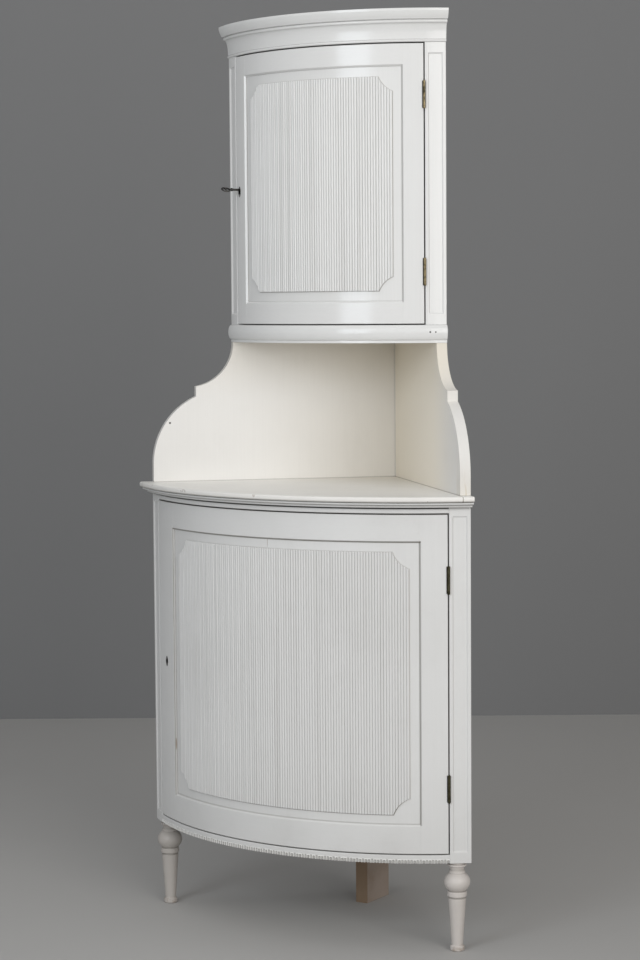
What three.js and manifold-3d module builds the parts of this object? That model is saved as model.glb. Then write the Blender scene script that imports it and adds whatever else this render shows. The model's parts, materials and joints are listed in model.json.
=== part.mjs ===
// Corner cupboard in two cases, with bowed doors that carry a reeded field.
// Millimetres, +Z up, front towards -Y. The two back walls meet at a right angle.

import * as THREE from 'three';
import { mergeVertices } from 'three/addons/utils/BufferGeometryUtils.js';
import Module from 'manifold-3d';

const wasm = await Module();
wasm.setup();

// Driving dimensions of the whole cupboard
const lowHalfWidth = 436.5;
const lowBowRise = 160;
const upHalfWidth = 298.3;
const upBowRise = 107;
const legHeight = 203;
const lowCaseHeight = 806;
const counterThickness = 12.2;
const nicheHeight = 331.7;
const plinthHeight = 41;
const upCaseHeight = 633.1;
const corniceHeight = 72.6;
const boardThickness = 24;
const innerBoardThickness = 18;
const seam = 0.3;
const overrun = 20;
const facetSagitta = 0.3;
const facetMarginShare = 0.05;

// Corner posts
const postWidth = 48.4;
const postDepth = 46;
const sunkFrameSide = 9.8;
const lowSunkFrameTop = 35;
const upSunkFrameTop = 25.9;
const sunkFrameBottom = 27;
const sunkFrameDepth = 2.6;
const sunkFrameSlope = 2.4;

// Lower case rails, boards and shelf
const lowRailDepth = 40;
const topRailHeight = 25.8;
const bottomRailHeight = 19;
const bottomRailDepth = 22;
const notchPitch = 8.3;
const notchDepth = 2.6;
const notchHeight = 7;
const shelfSetback = 22;
const lowShelfHeight = 392;
const battenSize = 20;
const battenFrontGap = 26;
const battenRearGap = 74;

// Counter board and the moulding under its nose
const counterOverhang = 31;
const counterNoseRound = 4.8;
const counterCoreOverlap = 30;
const beadOverhang = 25;
const beadHeight = 6.2;
const coveTopOverhang = 18;
const coveBottomOverhang = 13;
const counterMouldingHeight = 12;
const coveFillet = 1.8;
const counterHousing = 2;

// Shaped ends of the open niche
const wingFrontHeight = 41.5;
const wingConvexRadius = 177;
const wingStepAlong = 104;
const wingStepHeight = 24;
const wingConcaveRadius = 107;
const wingConcaveRise = 3;
const wingArcSegments = 14;

// Upper case
const plinthDepth = 40;
const plinthFilletHeight = 5.5;
const plinthFilletProud = 1;
const plinthTorusProud = 7.5;
const plinthTorusFacets = 6;
const corniceDepth = 40;
const upBottomRise = 9;
const upTopDrop = 36;
const upShelfHeight = 320;

// Cornice members from the bottom up
const corniceBeadHeight = 6.5;
const corniceBeadProud = 2.6;
const coveHeight = 35;
const coveFootProud = 1.4;
const coveHeadProud = 9.5;
const ringHeight = 8;
const ringProud = 12.6;
const crownFootProud = 16.2;
const crownHeadProud = 23.4;
const crownLipHeight = 5;
const corniceArcFacets = 3;

// Doors
const doorGap = 2.6;
const doorThickness = 24;
const frameChamfer = 4;
const panelSink = 5.4;
const panelThickness = 8.6;
const panelTongue = 8;
const grooveDepth = 9;
const tenonRoot = 10;
const fieldRise = 2.2;
const reedHeight = 2.4;
const reedPitch = 6.4;
const fieldBury = 3;
const fieldHollowRadius = 61;
const cornerSegments = 40;
const lowLockStileWidth = 92.5;
const lowHingeStileWidth = 62.8;
const lowDoorTopRail = 62;
const lowDoorBottomRail = 66;
const lowFieldSideMargin = 23;
const lowFieldEndMargin = 21;
const lowFieldCorner = 37;
const upStileWidth = 50;
const upDoorTopRail = 50.4;
const upDoorBottomRail = 52;
const upFieldSideMargin = 21;
const upFieldEndMargin = 22.5;
const upFieldCorner = 32.5;

// Butt hinges
const hingeHeight = 60;
const hingeBarrelRadius = 3.2;
const hingeAxisProud = 3.5;
const hingePinRadius = 1.4;
const hingePinHole = 1.6;
const hingeHeadRadius = 2.6;
const hingeHeadHeight = 1.6;
const hingeLeafThickness = 1.8;
const hingeLeafGap = 0.4;
const hingeLeafWidth = 18;
const knuckleCount = 3;
const knuckleSegments = 10;
const lowHingeFromTop = 145;
const lowHingeFromBottom = 146;
const upHingeFromTop = 114;
const upHingeFromBottom = 117;

// Locks, their bolts and the key
const lockClearance = 0.5;
const lockHeight = 50;
const lockDepth = 13;
const lockBeyondKey = 17;
const lockEdgeSet = 2;
const boltHeight = 12;
const boltThickness = 3;
const boltLength = 24;
const boltRise = 12;
const boltFrontWall = 2.2;
const boltTravel = 9;
const mortiseMargin = 1.2;
const bitChamberRadius = 11;
const bitChamberFront = 6.6;
const bitChamberBack = 11.4;
const keyholeTopRadius = 5.3;
const keyholeFootRadius = 4.7;
const keyholeWaist = 6.4;
const keyholeHeight = 21;
const keyholeSegments = 16;
const lockHoleRadius = 3.6;
const lockSlotWidth = 3.2;
const lowKeyFromEdge = 48;
const lowKeyHeight = 381;
const upKeyFromEdge = 16;
const upKeyHeight = 316.6;
const keyShankRadius = 2.6;
const keyProud = 46;
const keyBowLength = 22;
const keyBowWidth = 24;
const keyBowThickness = 3.4;
const keyBowRim = 3.8;
const keyBowBar = 3;
const keyTilt = THREE.MathUtils.degToRad(25);
const keyCollarRadius = 3.9;
const keyCollarLength = 3;
const keyBitReach = 9.6;
const keyBitThickness = 2;
const shankSegments = 14;

// Turned front legs and the plank leg at the back
const legFromWallEdge = 29.1;
const legSetIn = 24.6;
const legSegments = 16;
const footRadius = 16.3;
const footHeight = 13;
const footRound = 2.5;
const taperFootRadius = 12.8;
const taperTopRadius = 19.9;
const taperTopHeight = 120;
const legGrooveRadius = 18.4;
const legGrooveHeight = 3;
const collarRadius = 22;
const collarHeight = 12.5;
const collarRound = 1.8;
const neckRadius = 19;
const neckGap = 1.5;
const ballRadius = 29.5;
const ballHalfHeight = 25;
const ballHeadRadius = 17;
const ballFacets = 6;
const topRingRadius = 18.2;
const topRingHeight = 4.5;
const topThroatRadius = 15.8;
const topThroatHeight = 3.5;
const cupRadius = 21.4;
const cupRise = 8.5;
const cupLipHeight = 4;
const legNeckRadius = 17;
const backLegThickness = 32;
const backLegDepth = 100;
const backLegFrontY = 236;

// Heights worked out from the driving dimensions
const lowCaseTop = legHeight + lowCaseHeight;
const counterBottom = lowCaseTop + seam;
const counterTop = counterBottom + counterThickness;
const upCaseBottom = counterTop + nicheHeight;
const plinthTop = upCaseBottom + plinthHeight;
const corniceBottom = plinthTop + upCaseHeight;
const cupboardTop = corniceBottom + corniceHeight;
const counterMouldingBottom = lowCaseTop - counterMouldingHeight;
const lowDoorBottom = legHeight + bottomRailHeight + doorGap;
const lowDoorTop = lowCaseTop - topRailHeight - doorGap;
const upDoorBottom = plinthTop + doorGap;
const upDoorTop = corniceBottom - doorGap;
const sideTop = cupboardTop - upTopDrop + innerBoardThickness;

// Finishes
const finish = (color, roughness, metalness) => new THREE.MeshStandardMaterial({ color, roughness, metalness });
const upperPaint = finish(0xe9e8e4, 0.3, 0);
const lowerPaint = finish(0xd9d9d6, 0.45, 0);
const nichePaint = finish(0xe2ded3, 0.5, 0);
const legPaint = finish(0xcfc8c4, 0.55, 0);
const agedBrass = finish(0x6b5a36, 0.45, 0.9);
const darkIron = finish(0x2b2a28, 0.5, 0.8);
const keySteel = finish(0x77756f, 0.4, 0.9);

// Plan of a bowed front: an arc whose ends lie on the two wall faces
function makeBow(halfWidth, rise) {
  const chordY = lowHalfWidth - halfWidth;
  const radius = (halfWidth ** 2 + rise ** 2) / (2 * rise);
  const endAngle = Math.asin(halfWidth / radius);
  const facet = 2 * Math.acos(1 - facetSagitta / radius);
  return { halfWidth, chordY, radius, endAngle, facet, centreY: chordY + radius - rise, endArc: radius * endAngle };
}

const lowBow = makeBow(lowHalfWidth, lowBowRise);
const upBow = makeBow(upHalfWidth, upBowRise);

// Point in plan at an arc length from the middle and a distance out from the bow
function bowPoint(bow, arc, out) {
  const angle = arc / bow.radius;
  const reach = bow.radius + out;
  return new THREE.Vector2(reach * Math.sin(angle), bow.centreY - reach * Math.cos(angle));
}

// Point in plan measured along a wall from the front edge and inwards from the wall
function wallPoint(bow, side, along, inward) {
  const x = bow.halfWidth - (along + inward) * Math.SQRT1_2;
  return new THREE.Vector2(side * x, bow.chordY + (along - inward) * Math.SQRT1_2);
}

// Angle at which a circle about the bow's centre meets a wall face or a line set in from it
function wallAngle(bow, reach, inset = 0) {
  const setBack = lowHalfWidth - inset * Math.SQRT2 - bow.centreY;
  return Math.PI / 4 + Math.asin(setBack / (reach * Math.SQRT2));
}

// Angles of the facet lines that every piece on a bow shares, between two angles
function facetAngles(bow, fromAngle, toAngle) {
  const margin = bow.facet * facetMarginShare;
  const low = Math.min(fromAngle, toAngle) + margin;
  const high = Math.max(fromAngle, toAngle) - margin;
  const angles = [];
  for (let line = Math.ceil(low / bow.facet); line * bow.facet < high; line += 1) angles.push(line * bow.facet);
  return fromAngle < toAngle ? angles : angles.reverse();
}

// Points along an arc of the bow, at the shared facet lines
function arcPoints(bow, out, fromAngle, toAngle) {
  const angles = [fromAngle, ...facetAngles(bow, fromAngle, toAngle), toAngle];
  return angles.map((angle) => bowPoint(bow, angle * bow.radius, out));
}

// Upright prism on a plan outline
function prism(outline, bottom, top) {
  const geometry = new THREE.ExtrudeGeometry(new THREE.Shape(outline), { depth: top - bottom, bevelEnabled: false });
  return geometry.translate(0, 0, bottom);
}

// Section of (out, height) points carried round the bow between two angles of the reach
function sweepBow(bow, section, startAngle, endAngle) {
  const reaches = section.map(([out]) => bow.radius + out);
  const lines = facetAngles(bow, Math.min(...reaches.map(endAngle)), Math.max(...reaches.map(startAngle)));
  const steps = lines.length + 1;
  const shape = new THREE.Shape(section.map(([out, height]) => new THREE.Vector2(out, height)));
  const geometry = new THREE.ExtrudeGeometry(shape, { depth: steps, steps, bevelEnabled: false });
  const place = geometry.attributes.position;
  for (let i = 0; i < place.count; i += 1) {
    const reach = bow.radius + place.getX(i);
    const angle = [endAngle(reach), ...lines, startAngle(reach)][Math.round(place.getZ(i))];
    place.setXYZ(i, reach * Math.sin(angle), bow.centreY - reach * Math.cos(angle), place.getY(i));
  }
  return geometry;
}

// The same, symmetric about the middle
function sweepAcross(bow, section, halfAngle) {
  return sweepBow(bow, section, (reach) => -halfAngle(reach), halfAngle);
}

// Rectangle section from out distances and heights
function boxSection(inner, outer, bottom, top) {
  return [[inner, bottom], [outer, bottom], [outer, top], [inner, top]];
}

// Move a piece from its own flat frame onto the bow: local -Y points out, +X along the arc
function ontoBow(geometry, bow, arc, out, height) {
  const place = bowPoint(bow, arc, out);
  return geometry.rotateZ(arc / bow.radius).translate(place.x, place.y, height);
}

function box(low, high) {
  const size = high.map((value, axis) => value - low[axis]);
  const centre = high.map((value, axis) => (value + low[axis]) / 2);
  return new THREE.BoxGeometry(...size).translate(...centre);
}

// Cylinder along local Y from the front of a flat frame
function rodAlongY(radius, from, to, segments) {
  const rod = new THREE.CylinderGeometry(radius, radius, to - from, segments);
  return rod.translate(0, (from + to) / 2, 0);
}

function toSolid(geometry) {
  const bare = new THREE.BufferGeometry();
  bare.setAttribute('position', geometry.attributes.position);
  bare.setIndex(geometry.index);
  const merged = mergeVertices(bare);
  const triVerts = new Uint32Array(merged.index.array);
  return new wasm.Manifold(new wasm.Mesh({ numProp: 3, vertProperties: merged.attributes.position.array, triVerts }));
}

function toGeometry(manifold) {
  const mesh = manifold.getMesh();
  const geometry = new THREE.BufferGeometry();
  geometry.setAttribute('position', new THREE.BufferAttribute(mesh.vertProperties, 3));
  geometry.setIndex(new THREE.BufferAttribute(mesh.triVerts, 1));
  return geometry;
}

function cut(body, cutters) {
  return toGeometry(cutters.reduce((left, cutter) => left.subtract(toSolid(cutter)), toSolid(body)));
}

function join(bodies) {
  return toGeometry(bodies.map(toSolid).reduce((sum, part) => sum.add(part)));
}

function addPiece(parent, name, geometry, material) {
  const plain = geometry.index ? geometry.toNonIndexed() : geometry;
  plain.computeVertexNormals();
  const mesh = new THREE.Mesh(plain, material);
  mesh.name = name;
  parent.add(mesh);
  return mesh;
}

// Arc positions of the posts and the doors
const lowPostArc = lowBow.endArc - postWidth;
const upPostArc = upBow.endArc - postWidth;
const lowDoorArc = lowPostArc - doorGap;
const upDoorArc = upPostArc - doorGap;

const sides = [['left', -1], ['right', 1]];

// Plan point behind a post where its back face meets a radial line beside its door edge
function postBackPoint(bow, side, arc, along) {
  const outer = bowPoint(bow, side * arc, 0);
  const inner = bowPoint(bow, side * arc, -postDepth);
  const face = wallPoint(bow, side, along, 0);
  const wallward = new THREE.Vector2(-side * Math.SQRT1_2, Math.SQRT1_2);
  const share = face.clone().sub(outer).dot(wallward) / inner.clone().sub(outer).dot(wallward);
  return outer.lerp(inner, share);
}

// Corner post: bowed face, radial door edge, back face square to the wall, sunk frame
function makePost(bow, side, bottom, top, frameTop) {
  const postArc = bow.endArc - postWidth;
  const face = arcPoints(bow, 0, side * bow.endAngle, side * postArc / bow.radius);
  const back = [postBackPoint(bow, side, postArc, postDepth), wallPoint(bow, side, postDepth, 0)];
  const body = prism([...face, ...back], bottom, top);
  const low = bottom + sunkFrameBottom;
  const high = top - frameTop;
  const middle = (postArc + bow.endArc) / 2;
  const halfFrame = postWidth / 2 - sunkFrameSide;
  const sinkEdge = (reach) => (halfFrame + (reach - bow.radius) * sunkFrameSlope / sunkFrameDepth) / bow.radius;
  const spread = sunkFrameSlope * (1 + overrun / sunkFrameDepth);
  const section = [[-sunkFrameDepth, low], [overrun, low - spread], [overrun, high + spread], [-sunkFrameDepth, high]];
  const start = (reach) => side * middle / bow.radius - sinkEdge(reach);
  const end = (reach) => side * middle / bow.radius + sinkEdge(reach);
  return { body, sunk: sweepBow(bow, section, start, end) };
}

// Level board between the wall boards, with a bowed front edge
function wedgeBoard(bow, out, wallInset, bottom, top) {
  const angle = wallAngle(bow, bow.radius + out, wallInset);
  const corner = new THREE.Vector2(0, lowHalfWidth - wallInset * Math.SQRT2);
  return prism([...arcPoints(bow, out, -angle, angle), corner], bottom, top);
}

// Level board that also fits between and behind the posts
function notchedBoard(bow, out, bottom, top) {
  const arc = bow.endArc - postWidth - seam;
  const inset = boardThickness + seam;
  const behind = postDepth + seam;
  const shoulder = (side) => [postBackPoint(bow, side, arc, behind), wallPoint(bow, side, behind, inset)];
  const front = arcPoints(bow, out, -arc / bow.radius, arc / bow.radius);
  const corner = new THREE.Vector2(0, lowHalfWidth - inset * Math.SQRT2);
  return prism([...front, ...shoulder(1), corner, ...shoulder(-1).reverse()], bottom, top);
}

// Bar along a wall, from front to rear, between two distances in from the wall
function wallBar(bow, side, fromAlong, toAlong, inner, outer, bottom, top) {
  const outline = [[fromAlong, inner], [toAlong, inner], [toAlong, outer], [fromAlong, outer]];
  return prism(outline.map(([along, inward]) => wallPoint(bow, side, along, inward)), bottom, top);
}

// The left wall board runs to the corner and the right one butts against it
function wallEnd(bow, side) {
  const length = (lowHalfWidth - bow.chordY) * Math.SQRT2;
  return side < 0 ? length : length - boardThickness - seam;
}

// Worn keyhole: a round head, a waist and a round foot, cut from the front of a flat frame
function keyholeCutters(from, to) {
  const footZ = keyholeTopRadius + keyholeFootRadius - keyholeHeight;
  const head = rodAlongY(keyholeTopRadius, from, to, keyholeSegments);
  const foot = rodAlongY(keyholeFootRadius, from, to, keyholeSegments).translate(0, 0, footZ);
  const waist = box([-keyholeWaist / 2, from, footZ], [keyholeWaist / 2, to, 0]);
  return [head, foot, waist];
}

// How far the flat lock case stands off the back of its stile, to clear the stile's curve
function lockSeat(bow, keyFromEdge) {
  const reach = Math.max(lockBeyondKey, keyFromEdge - lockEdgeSet);
  return lockClearance + reach ** 2 / (2 * (bow.radius - doorThickness));
}

// Lock bolt seat in a post, cut in the flat frame of the lock
function mortiseCutter(bow, keyFromEdge) {
  const near = lockEdgeSet - keyFromEdge;
  const far = near - boltTravel - mortiseMargin - lockEdgeSet;
  const front = lockSeat(bow, keyFromEdge) + boltFrontWall - mortiseMargin;
  const back = front + boltThickness + 2 * mortiseMargin;
  const low = boltRise - boltHeight / 2 - mortiseMargin;
  const high = boltRise + boltHeight / 2 + mortiseMargin;
  return box([far, front, low], [near, back, high]);
}

// Hinge leaf bed, cut in the flat frame of the hinge; hand -1 is the door side
function leafBed(hand) {
  const deep = hingeLeafGap + hingeLeafThickness + seam;
  const halfHeight = hingeHeight / 2 + seam;
  const inner = hingeAxisProud + hingeLeafWidth + seam;
  const low = [Math.min(0, hand * deep), -hingeAxisProud, -halfHeight];
  const high = [Math.max(0, hand * deep), inner, halfHeight];
  return box(low, high);
}

const lowHinges = [['top', lowDoorTop - lowHingeFromTop], ['bottom', lowDoorBottom + lowHingeFromBottom]];
const upHinges = [['top', upDoorTop - upHingeFromTop], ['bottom', upDoorBottom + upHingeFromBottom]];
const lowKeyZ = lowDoorBottom + lowKeyHeight;
const upKeyZ = upDoorBottom + upKeyHeight;

function hingeArc(bow) {
  return bow.endArc - postWidth - doorGap / 2;
}

function hingeBeds(bow, hinges, hand) {
  return hinges.map(([, height]) => ontoBow(leafBed(hand), bow, hingeArc(bow), hingeAxisProud, height));
}

// Group of a case: posts, wall boards and level boards
function addPosts(group, prefix, bow, sizes) {
  const { bottom, top, frameTop, hinges, keyFromEdge, keyZ, material } = sizes;
  const keyArc = keyFromEdge + doorGap + postWidth - bow.endArc;
  for (const [word, side] of sides) {
    const { body, sunk } = makePost(bow, side, bottom, top, frameTop);
    const bolt = ontoBow(mortiseCutter(bow, keyFromEdge), bow, keyArc, -doorThickness, keyZ);
    const fittings = side < 0 ? [bolt] : hingeBeds(bow, hinges, 1);
    addPiece(group, `${prefix}_post_${word}`, cut(body, [sunk, ...fittings]), material);
  }
}

const cupboard = new THREE.Group();
const lowerCase = new THREE.Group();
const upperCase = new THREE.Group();
const lowerDoor = new THREE.Group();
const upperDoor = new THREE.Group();
cupboard.add(lowerCase, upperCase, lowerDoor, upperDoor);

// Turned leg: foot, taper, groove, collar, flattened ball, ring, flared cup and neck
function legProfile() {
  const collarBottom = taperTopHeight + legGrooveHeight;
  const collarTop = collarBottom + collarHeight;
  const end = Math.PI - Math.asin(ballHeadRadius / ballRadius);
  const start = Math.asin(neckRadius / ballRadius);
  const ballCentre = collarTop + neckGap + ballHalfHeight * Math.cos(start);
  const ball = [];
  for (let i = 0; i <= ballFacets; i += 1) {
    const angle = THREE.MathUtils.lerp(start, end, i / ballFacets);
    ball.push([ballRadius * Math.sin(angle), ballCentre - ballHalfHeight * Math.cos(angle)]);
  }
  const ballTop = ball[ballFacets][1];
  const ringTop = ballTop + topRingHeight;
  const cupFoot = ringTop + topThroatHeight;
  const cupShares = [[0, 0], [0.3, 0.5], [1, 1]];
  const cupRun = cupRadius - topThroatRadius;
  const cup = cupShares.map(([out, up]) => [topThroatRadius + cupRun * out, cupFoot + cupRise * up]);
  const cupTop = cupFoot + cupRise + cupLipHeight;
  return [
    [0, 0],
    [footRadius - footRound, 0],
    [footRadius, footRound],
    [footRadius, footHeight - footRound],
    [taperFootRadius, footHeight],
    [taperTopRadius, taperTopHeight - collarRound],
    [taperTopRadius, taperTopHeight],
    [legGrooveRadius, taperTopHeight],
    [legGrooveRadius, collarBottom],
    [collarRadius - collarRound, collarBottom],
    [collarRadius, collarBottom + collarRound],
    [collarRadius, collarTop - collarRound],
    [collarRadius - collarRound, collarTop],
    [neckRadius, collarTop],
    ...ball,
    [topRingRadius, ballTop],
    [topRingRadius, ringTop],
    [topThroatRadius, ringTop],
    ...cup,
    [cupRadius, cupTop],
    [legNeckRadius, cupTop],
    [legNeckRadius, legHeight - seam],
    [0, legHeight - seam],
  ].map(([radius, height]) => new THREE.Vector2(radius, height));
}

function addLegs() {
  for (const [word, side] of sides) {
    const turned = new THREE.LatheGeometry(legProfile(), legSegments).rotateX(Math.PI / 2);
    const leg = addPiece(lowerCase, `front_leg_${word}`, turned, legPaint);
    const place = bowPoint(lowBow, side * (lowBow.endArc - legFromWallEdge), -legSetIn);
    leg.position.set(place.x, place.y, 0);
  }
  const top = legHeight + bottomRailHeight - innerBoardThickness - seam;
  const half = backLegThickness / 2;
  const plank = box([-half, backLegFrontY, 0], [half, backLegFrontY + backLegDepth, top]);
  addPiece(lowerCase, 'back_leg', plank, legPaint);
}

// Bottom rail with a gouged lower edge
function makeBottomRail() {
  const halfArc = lowPostArc - seam;
  const plain = boxSection(-bottomRailDepth, 0, legHeight + notchHeight, legHeight + bottomRailHeight);
  const upper = sweepAcross(lowBow, plain, () => halfArc / lowBow.radius);
  const count = Math.floor(2 * halfArc / notchPitch);
  const pitch = 2 * halfArc / count;
  const notchOutlineShares = [[0, 0], [0.5, 1]];
  const front = [];
  for (let i = 0; i < count; i += 1) {
    for (const [along, depth] of notchOutlineShares) {
      front.push(bowPoint(lowBow, (i + along) * pitch - halfArc, -depth * notchDepth));
    }
  }
  front.push(bowPoint(lowBow, halfArc, 0));
  const back = arcPoints(lowBow, -bottomRailDepth, halfArc / lowBow.radius, -halfArc / lowBow.radius);
  return join([upper, prism([...front, ...back], legHeight, legHeight + notchHeight + seam)]);
}

function addShelf(group, prefix, bow, top, material) {
  const out = -doorThickness - shelfSetback;
  const bottom = top - innerBoardThickness;
  const board = wedgeBoard(bow, out, boardThickness + seam, bottom, top);
  addPiece(group, `${prefix}_shelf`, board, material);
  for (const [word, side] of sides) {
    const inner = boardThickness + seam;
    const from = postDepth + battenFrontGap;
    const to = wallEnd(bow, -1) - battenRearGap;
    const bar = wallBar(bow, side, from, to, inner, inner + battenSize, bottom - seam - battenSize, bottom - seam);
    addPiece(group, `${prefix}_batten_${word}`, bar, material);
  }
}

function addLowerCase() {
  addPosts(lowerCase, 'lower', lowBow, {
    bottom: legHeight,
    top: lowCaseTop,
    frameTop: lowSunkFrameTop,
    hinges: lowHinges,
    keyFromEdge: lowKeyFromEdge,
    keyZ: lowKeyZ,
    material: lowerPaint,
  });
  for (const [word, side] of sides) {
    const from = postDepth + seam;
    const board = wallBar(lowBow, side, from, wallEnd(lowBow, side), 0, boardThickness, legHeight, lowCaseTop);
    addPiece(lowerCase, `lower_side_${word}`, board, lowerPaint);
  }
  const floorTop = legHeight + bottomRailHeight;
  const floorFront = -bottomRailDepth - seam;
  const floor = notchedBoard(lowBow, floorFront, floorTop - innerBoardThickness, floorTop);
  addPiece(lowerCase, 'lower_bottom_board', floor, lowerPaint);
  addPiece(lowerCase, 'lower_bottom_rail', makeBottomRail(), lowerPaint);
  const railSection = boxSection(-lowRailDepth, 0, lowCaseTop - topRailHeight, lowCaseTop);
  const topRail = sweepAcross(lowBow, railSection, () => (lowPostArc - seam) / lowBow.radius);
  addPiece(lowerCase, 'lower_top_rail', topRail, lowerPaint);
  addShelf(lowerCase, 'lower', lowBow, legHeight + bottomRailHeight + lowShelfHeight, lowerPaint);
}

// Counter: board with a rounded nose, housed for the wall boards, and a bead over a cove beneath it
function addCounter() {
  const round = counterNoseRound;
  const roundShares = [[0.02, 0], [0.62, 0.24], [0.92, 0.62], [1, 1]];
  const foot = roundShares.map(([out, up]) => [counterOverhang - round * (1 - out), counterBottom + round * up]);
  const head = roundShares.map(([out, up]) => [counterOverhang - round * (1 - out), counterTop - round * up]);
  const coreFront = -counterCoreOverlap;
  const inner = 2 * coreFront;
  const noseSection = [[inner, counterBottom], ...foot, ...head.reverse(), [inner, counterTop]];
  const nose = sweepAcross(lowBow, noseSection, (reach) => wallAngle(lowBow, reach));
  const core = wedgeBoard(lowBow, coreFront, 0, counterBottom, counterTop);
  const housingEnd = boardThickness + seam;
  const housings = sides.map(([, side]) => {
    const rear = wallEnd(lowBow, -1) + overrun;
    const low = counterTop - counterHousing;
    return wallBar(lowBow, side, -seam, rear, -overrun, housingEnd, low, counterTop + overrun);
  });
  addPiece(lowerCase, 'counter_board', cut(join([core, nose]), housings), lowerPaint);

  const beadBottom = lowCaseTop - beadHeight;
  const beadShares = [[0.5, 0], [0.93, 0.25], [1, 0.5], [0.93, 0.75], [0.5, 1]];
  const beadProud = beadOverhang - coveTopOverhang;
  const bead = beadShares.map(([out, up]) => [coveTopOverhang + beadProud * out, beadBottom + beadHeight * up]);
  const coveShares = [[0, 0], [0.1, 0.45], [0.4, 0.8], [1, 1]];
  const coveRun = coveTopOverhang - coveBottomOverhang;
  const coveFoot = counterMouldingBottom + coveFillet;
  const coveRise = beadBottom - coveFoot;
  const cove = coveShares.map(([out, up]) => [coveBottomOverhang + coveRun * out, coveFoot + coveRise * up]);
  const section = [
    [seam, counterMouldingBottom],
    [coveBottomOverhang, counterMouldingBottom],
    ...cove,
    ...bead,
    [seam, lowCaseTop],
  ];
  const moulding = sweepAcross(lowBow, section, (reach) => wallAngle(lowBow, reach));
  addPiece(lowerCase, 'counter_moulding', moulding, lowerPaint);
}

// Outline of an upper wall board in (along, height): shaped niche end, then straight to the top
function wingOutline(side) {
  const upFront = (lowHalfWidth - upHalfWidth) * Math.SQRT2;
  const foot = counterTop - counterHousing + seam;
  const convexZ = counterTop + wingFrontHeight;
  const shape = new THREE.Shape();
  shape.moveTo(0, foot);
  const convexEnd = Math.acos((wingConvexRadius - wingStepAlong) / wingConvexRadius);
  shape.lineTo(0, convexZ);
  shape.absarc(wingConvexRadius, convexZ, wingConvexRadius, Math.PI, Math.PI - convexEnd, true);
  const stepTop = convexZ + wingConvexRadius * Math.sin(convexEnd) + wingStepHeight;
  const concaveX = upFront - wingConcaveRadius;
  const concaveStart = Math.acos((wingStepAlong - concaveX) / wingConcaveRadius);
  const concaveZ = stepTop + wingConcaveRadius * Math.sin(concaveStart);
  const tipRise = Math.min(concaveZ, upCaseBottom) - wingConcaveRise;
  const concaveEnd = Math.asin(Math.max(-1, (tipRise - concaveZ) / wingConcaveRadius));
  shape.lineTo(wingStepAlong, stepTop);
  shape.absarc(concaveX, concaveZ, wingConcaveRadius, -concaveStart, concaveEnd, false);
  shape.lineTo(upFront, upCaseBottom - seam);
  const behindPost = upFront + postDepth + seam;
  shape.lineTo(behindPost, upCaseBottom - seam);
  shape.lineTo(behindPost, sideTop);
  const rear = wallEnd(lowBow, side);
  shape.lineTo(rear, sideTop);
  shape.lineTo(rear, foot);
  return shape;
}

function addUpperCase() {
  const halfTurn = Math.PI / 4;
  for (const [word, side] of sides) {
    const options = { depth: boardThickness, bevelEnabled: false, curveSegments: wingArcSegments };
    const flat = new THREE.ExtrudeGeometry(wingOutline(side), options).rotateX(Math.PI / 2);
    const upright = side < 0 ? flat : flat.translate(0, boardThickness, 0);
    const board = addPiece(upperCase, `upper_side_${word}`, upright, nichePaint);
    board.rotation.z = side < 0 ? halfTurn : Math.PI - halfTurn;
    board.position.set(side * lowHalfWidth, 0, 0);
  }
  addPosts(upperCase, 'upper', upBow, {
    bottom: plinthTop + seam,
    top: corniceBottom - seam,
    frameTop: upSunkFrameTop,
    hinges: upHinges,
    keyFromEdge: upKeyFromEdge,
    keyZ: upKeyZ,
    material: upperPaint,
  });
  const floorBottom = upCaseBottom + upBottomRise;
  const floorFront = -plinthDepth - seam;
  const floorInset = boardThickness + seam;
  const floorBoard = wedgeBoard(upBow, floorFront, floorInset, floorBottom, floorBottom + innerBoardThickness);
  addPiece(upperCase, 'upper_bottom_board', floorBoard, upperPaint);
  const roof = wedgeBoard(upBow, -corniceDepth - seam, floorInset, sideTop - innerBoardThickness, sideTop);
  addPiece(upperCase, 'upper_top_board', roof, upperPaint);
  addShelf(upperCase, 'upper', upBow, plinthTop + upShelfHeight, upperPaint);
}

// Base moulding of the upper case: a fillet under a flattened torus
function addPlinth() {
  const torusBottom = upCaseBottom + plinthFilletHeight;
  const torusHalf = (plinthTop - torusBottom) / 2;
  const torus = [];
  for (let i = 0; i <= plinthTorusFacets; i += 1) {
    const angle = THREE.MathUtils.lerp(-Math.PI / 2, Math.PI / 2, i / plinthTorusFacets);
    torus.push([plinthTorusProud * Math.cos(angle), torusBottom + torusHalf * (1 + Math.sin(angle))]);
  }
  const fillet = [[plinthFilletProud, upCaseBottom], [plinthFilletProud, torusBottom]];
  const section = [[-plinthDepth, upCaseBottom], ...fillet, ...torus, [-plinthDepth, plinthTop]];
  const moulding = sweepAcross(upBow, section, (reach) => wallAngle(upBow, reach));
  addPiece(upperCase, 'upper_base_moulding', moulding, upperPaint);
}

// Half round from one height to another, standing proud of a root line
function roundMember(root, proud, bottom, height) {
  const points = [];
  for (let i = 0; i <= corniceArcFacets; i += 1) {
    const angle = THREE.MathUtils.lerp(-Math.PI / 2, Math.PI / 2, i / corniceArcFacets);
    points.push([root + (proud - root) * Math.cos(angle), bottom + height * (1 + Math.sin(angle)) / 2]);
  }
  return points;
}

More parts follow.
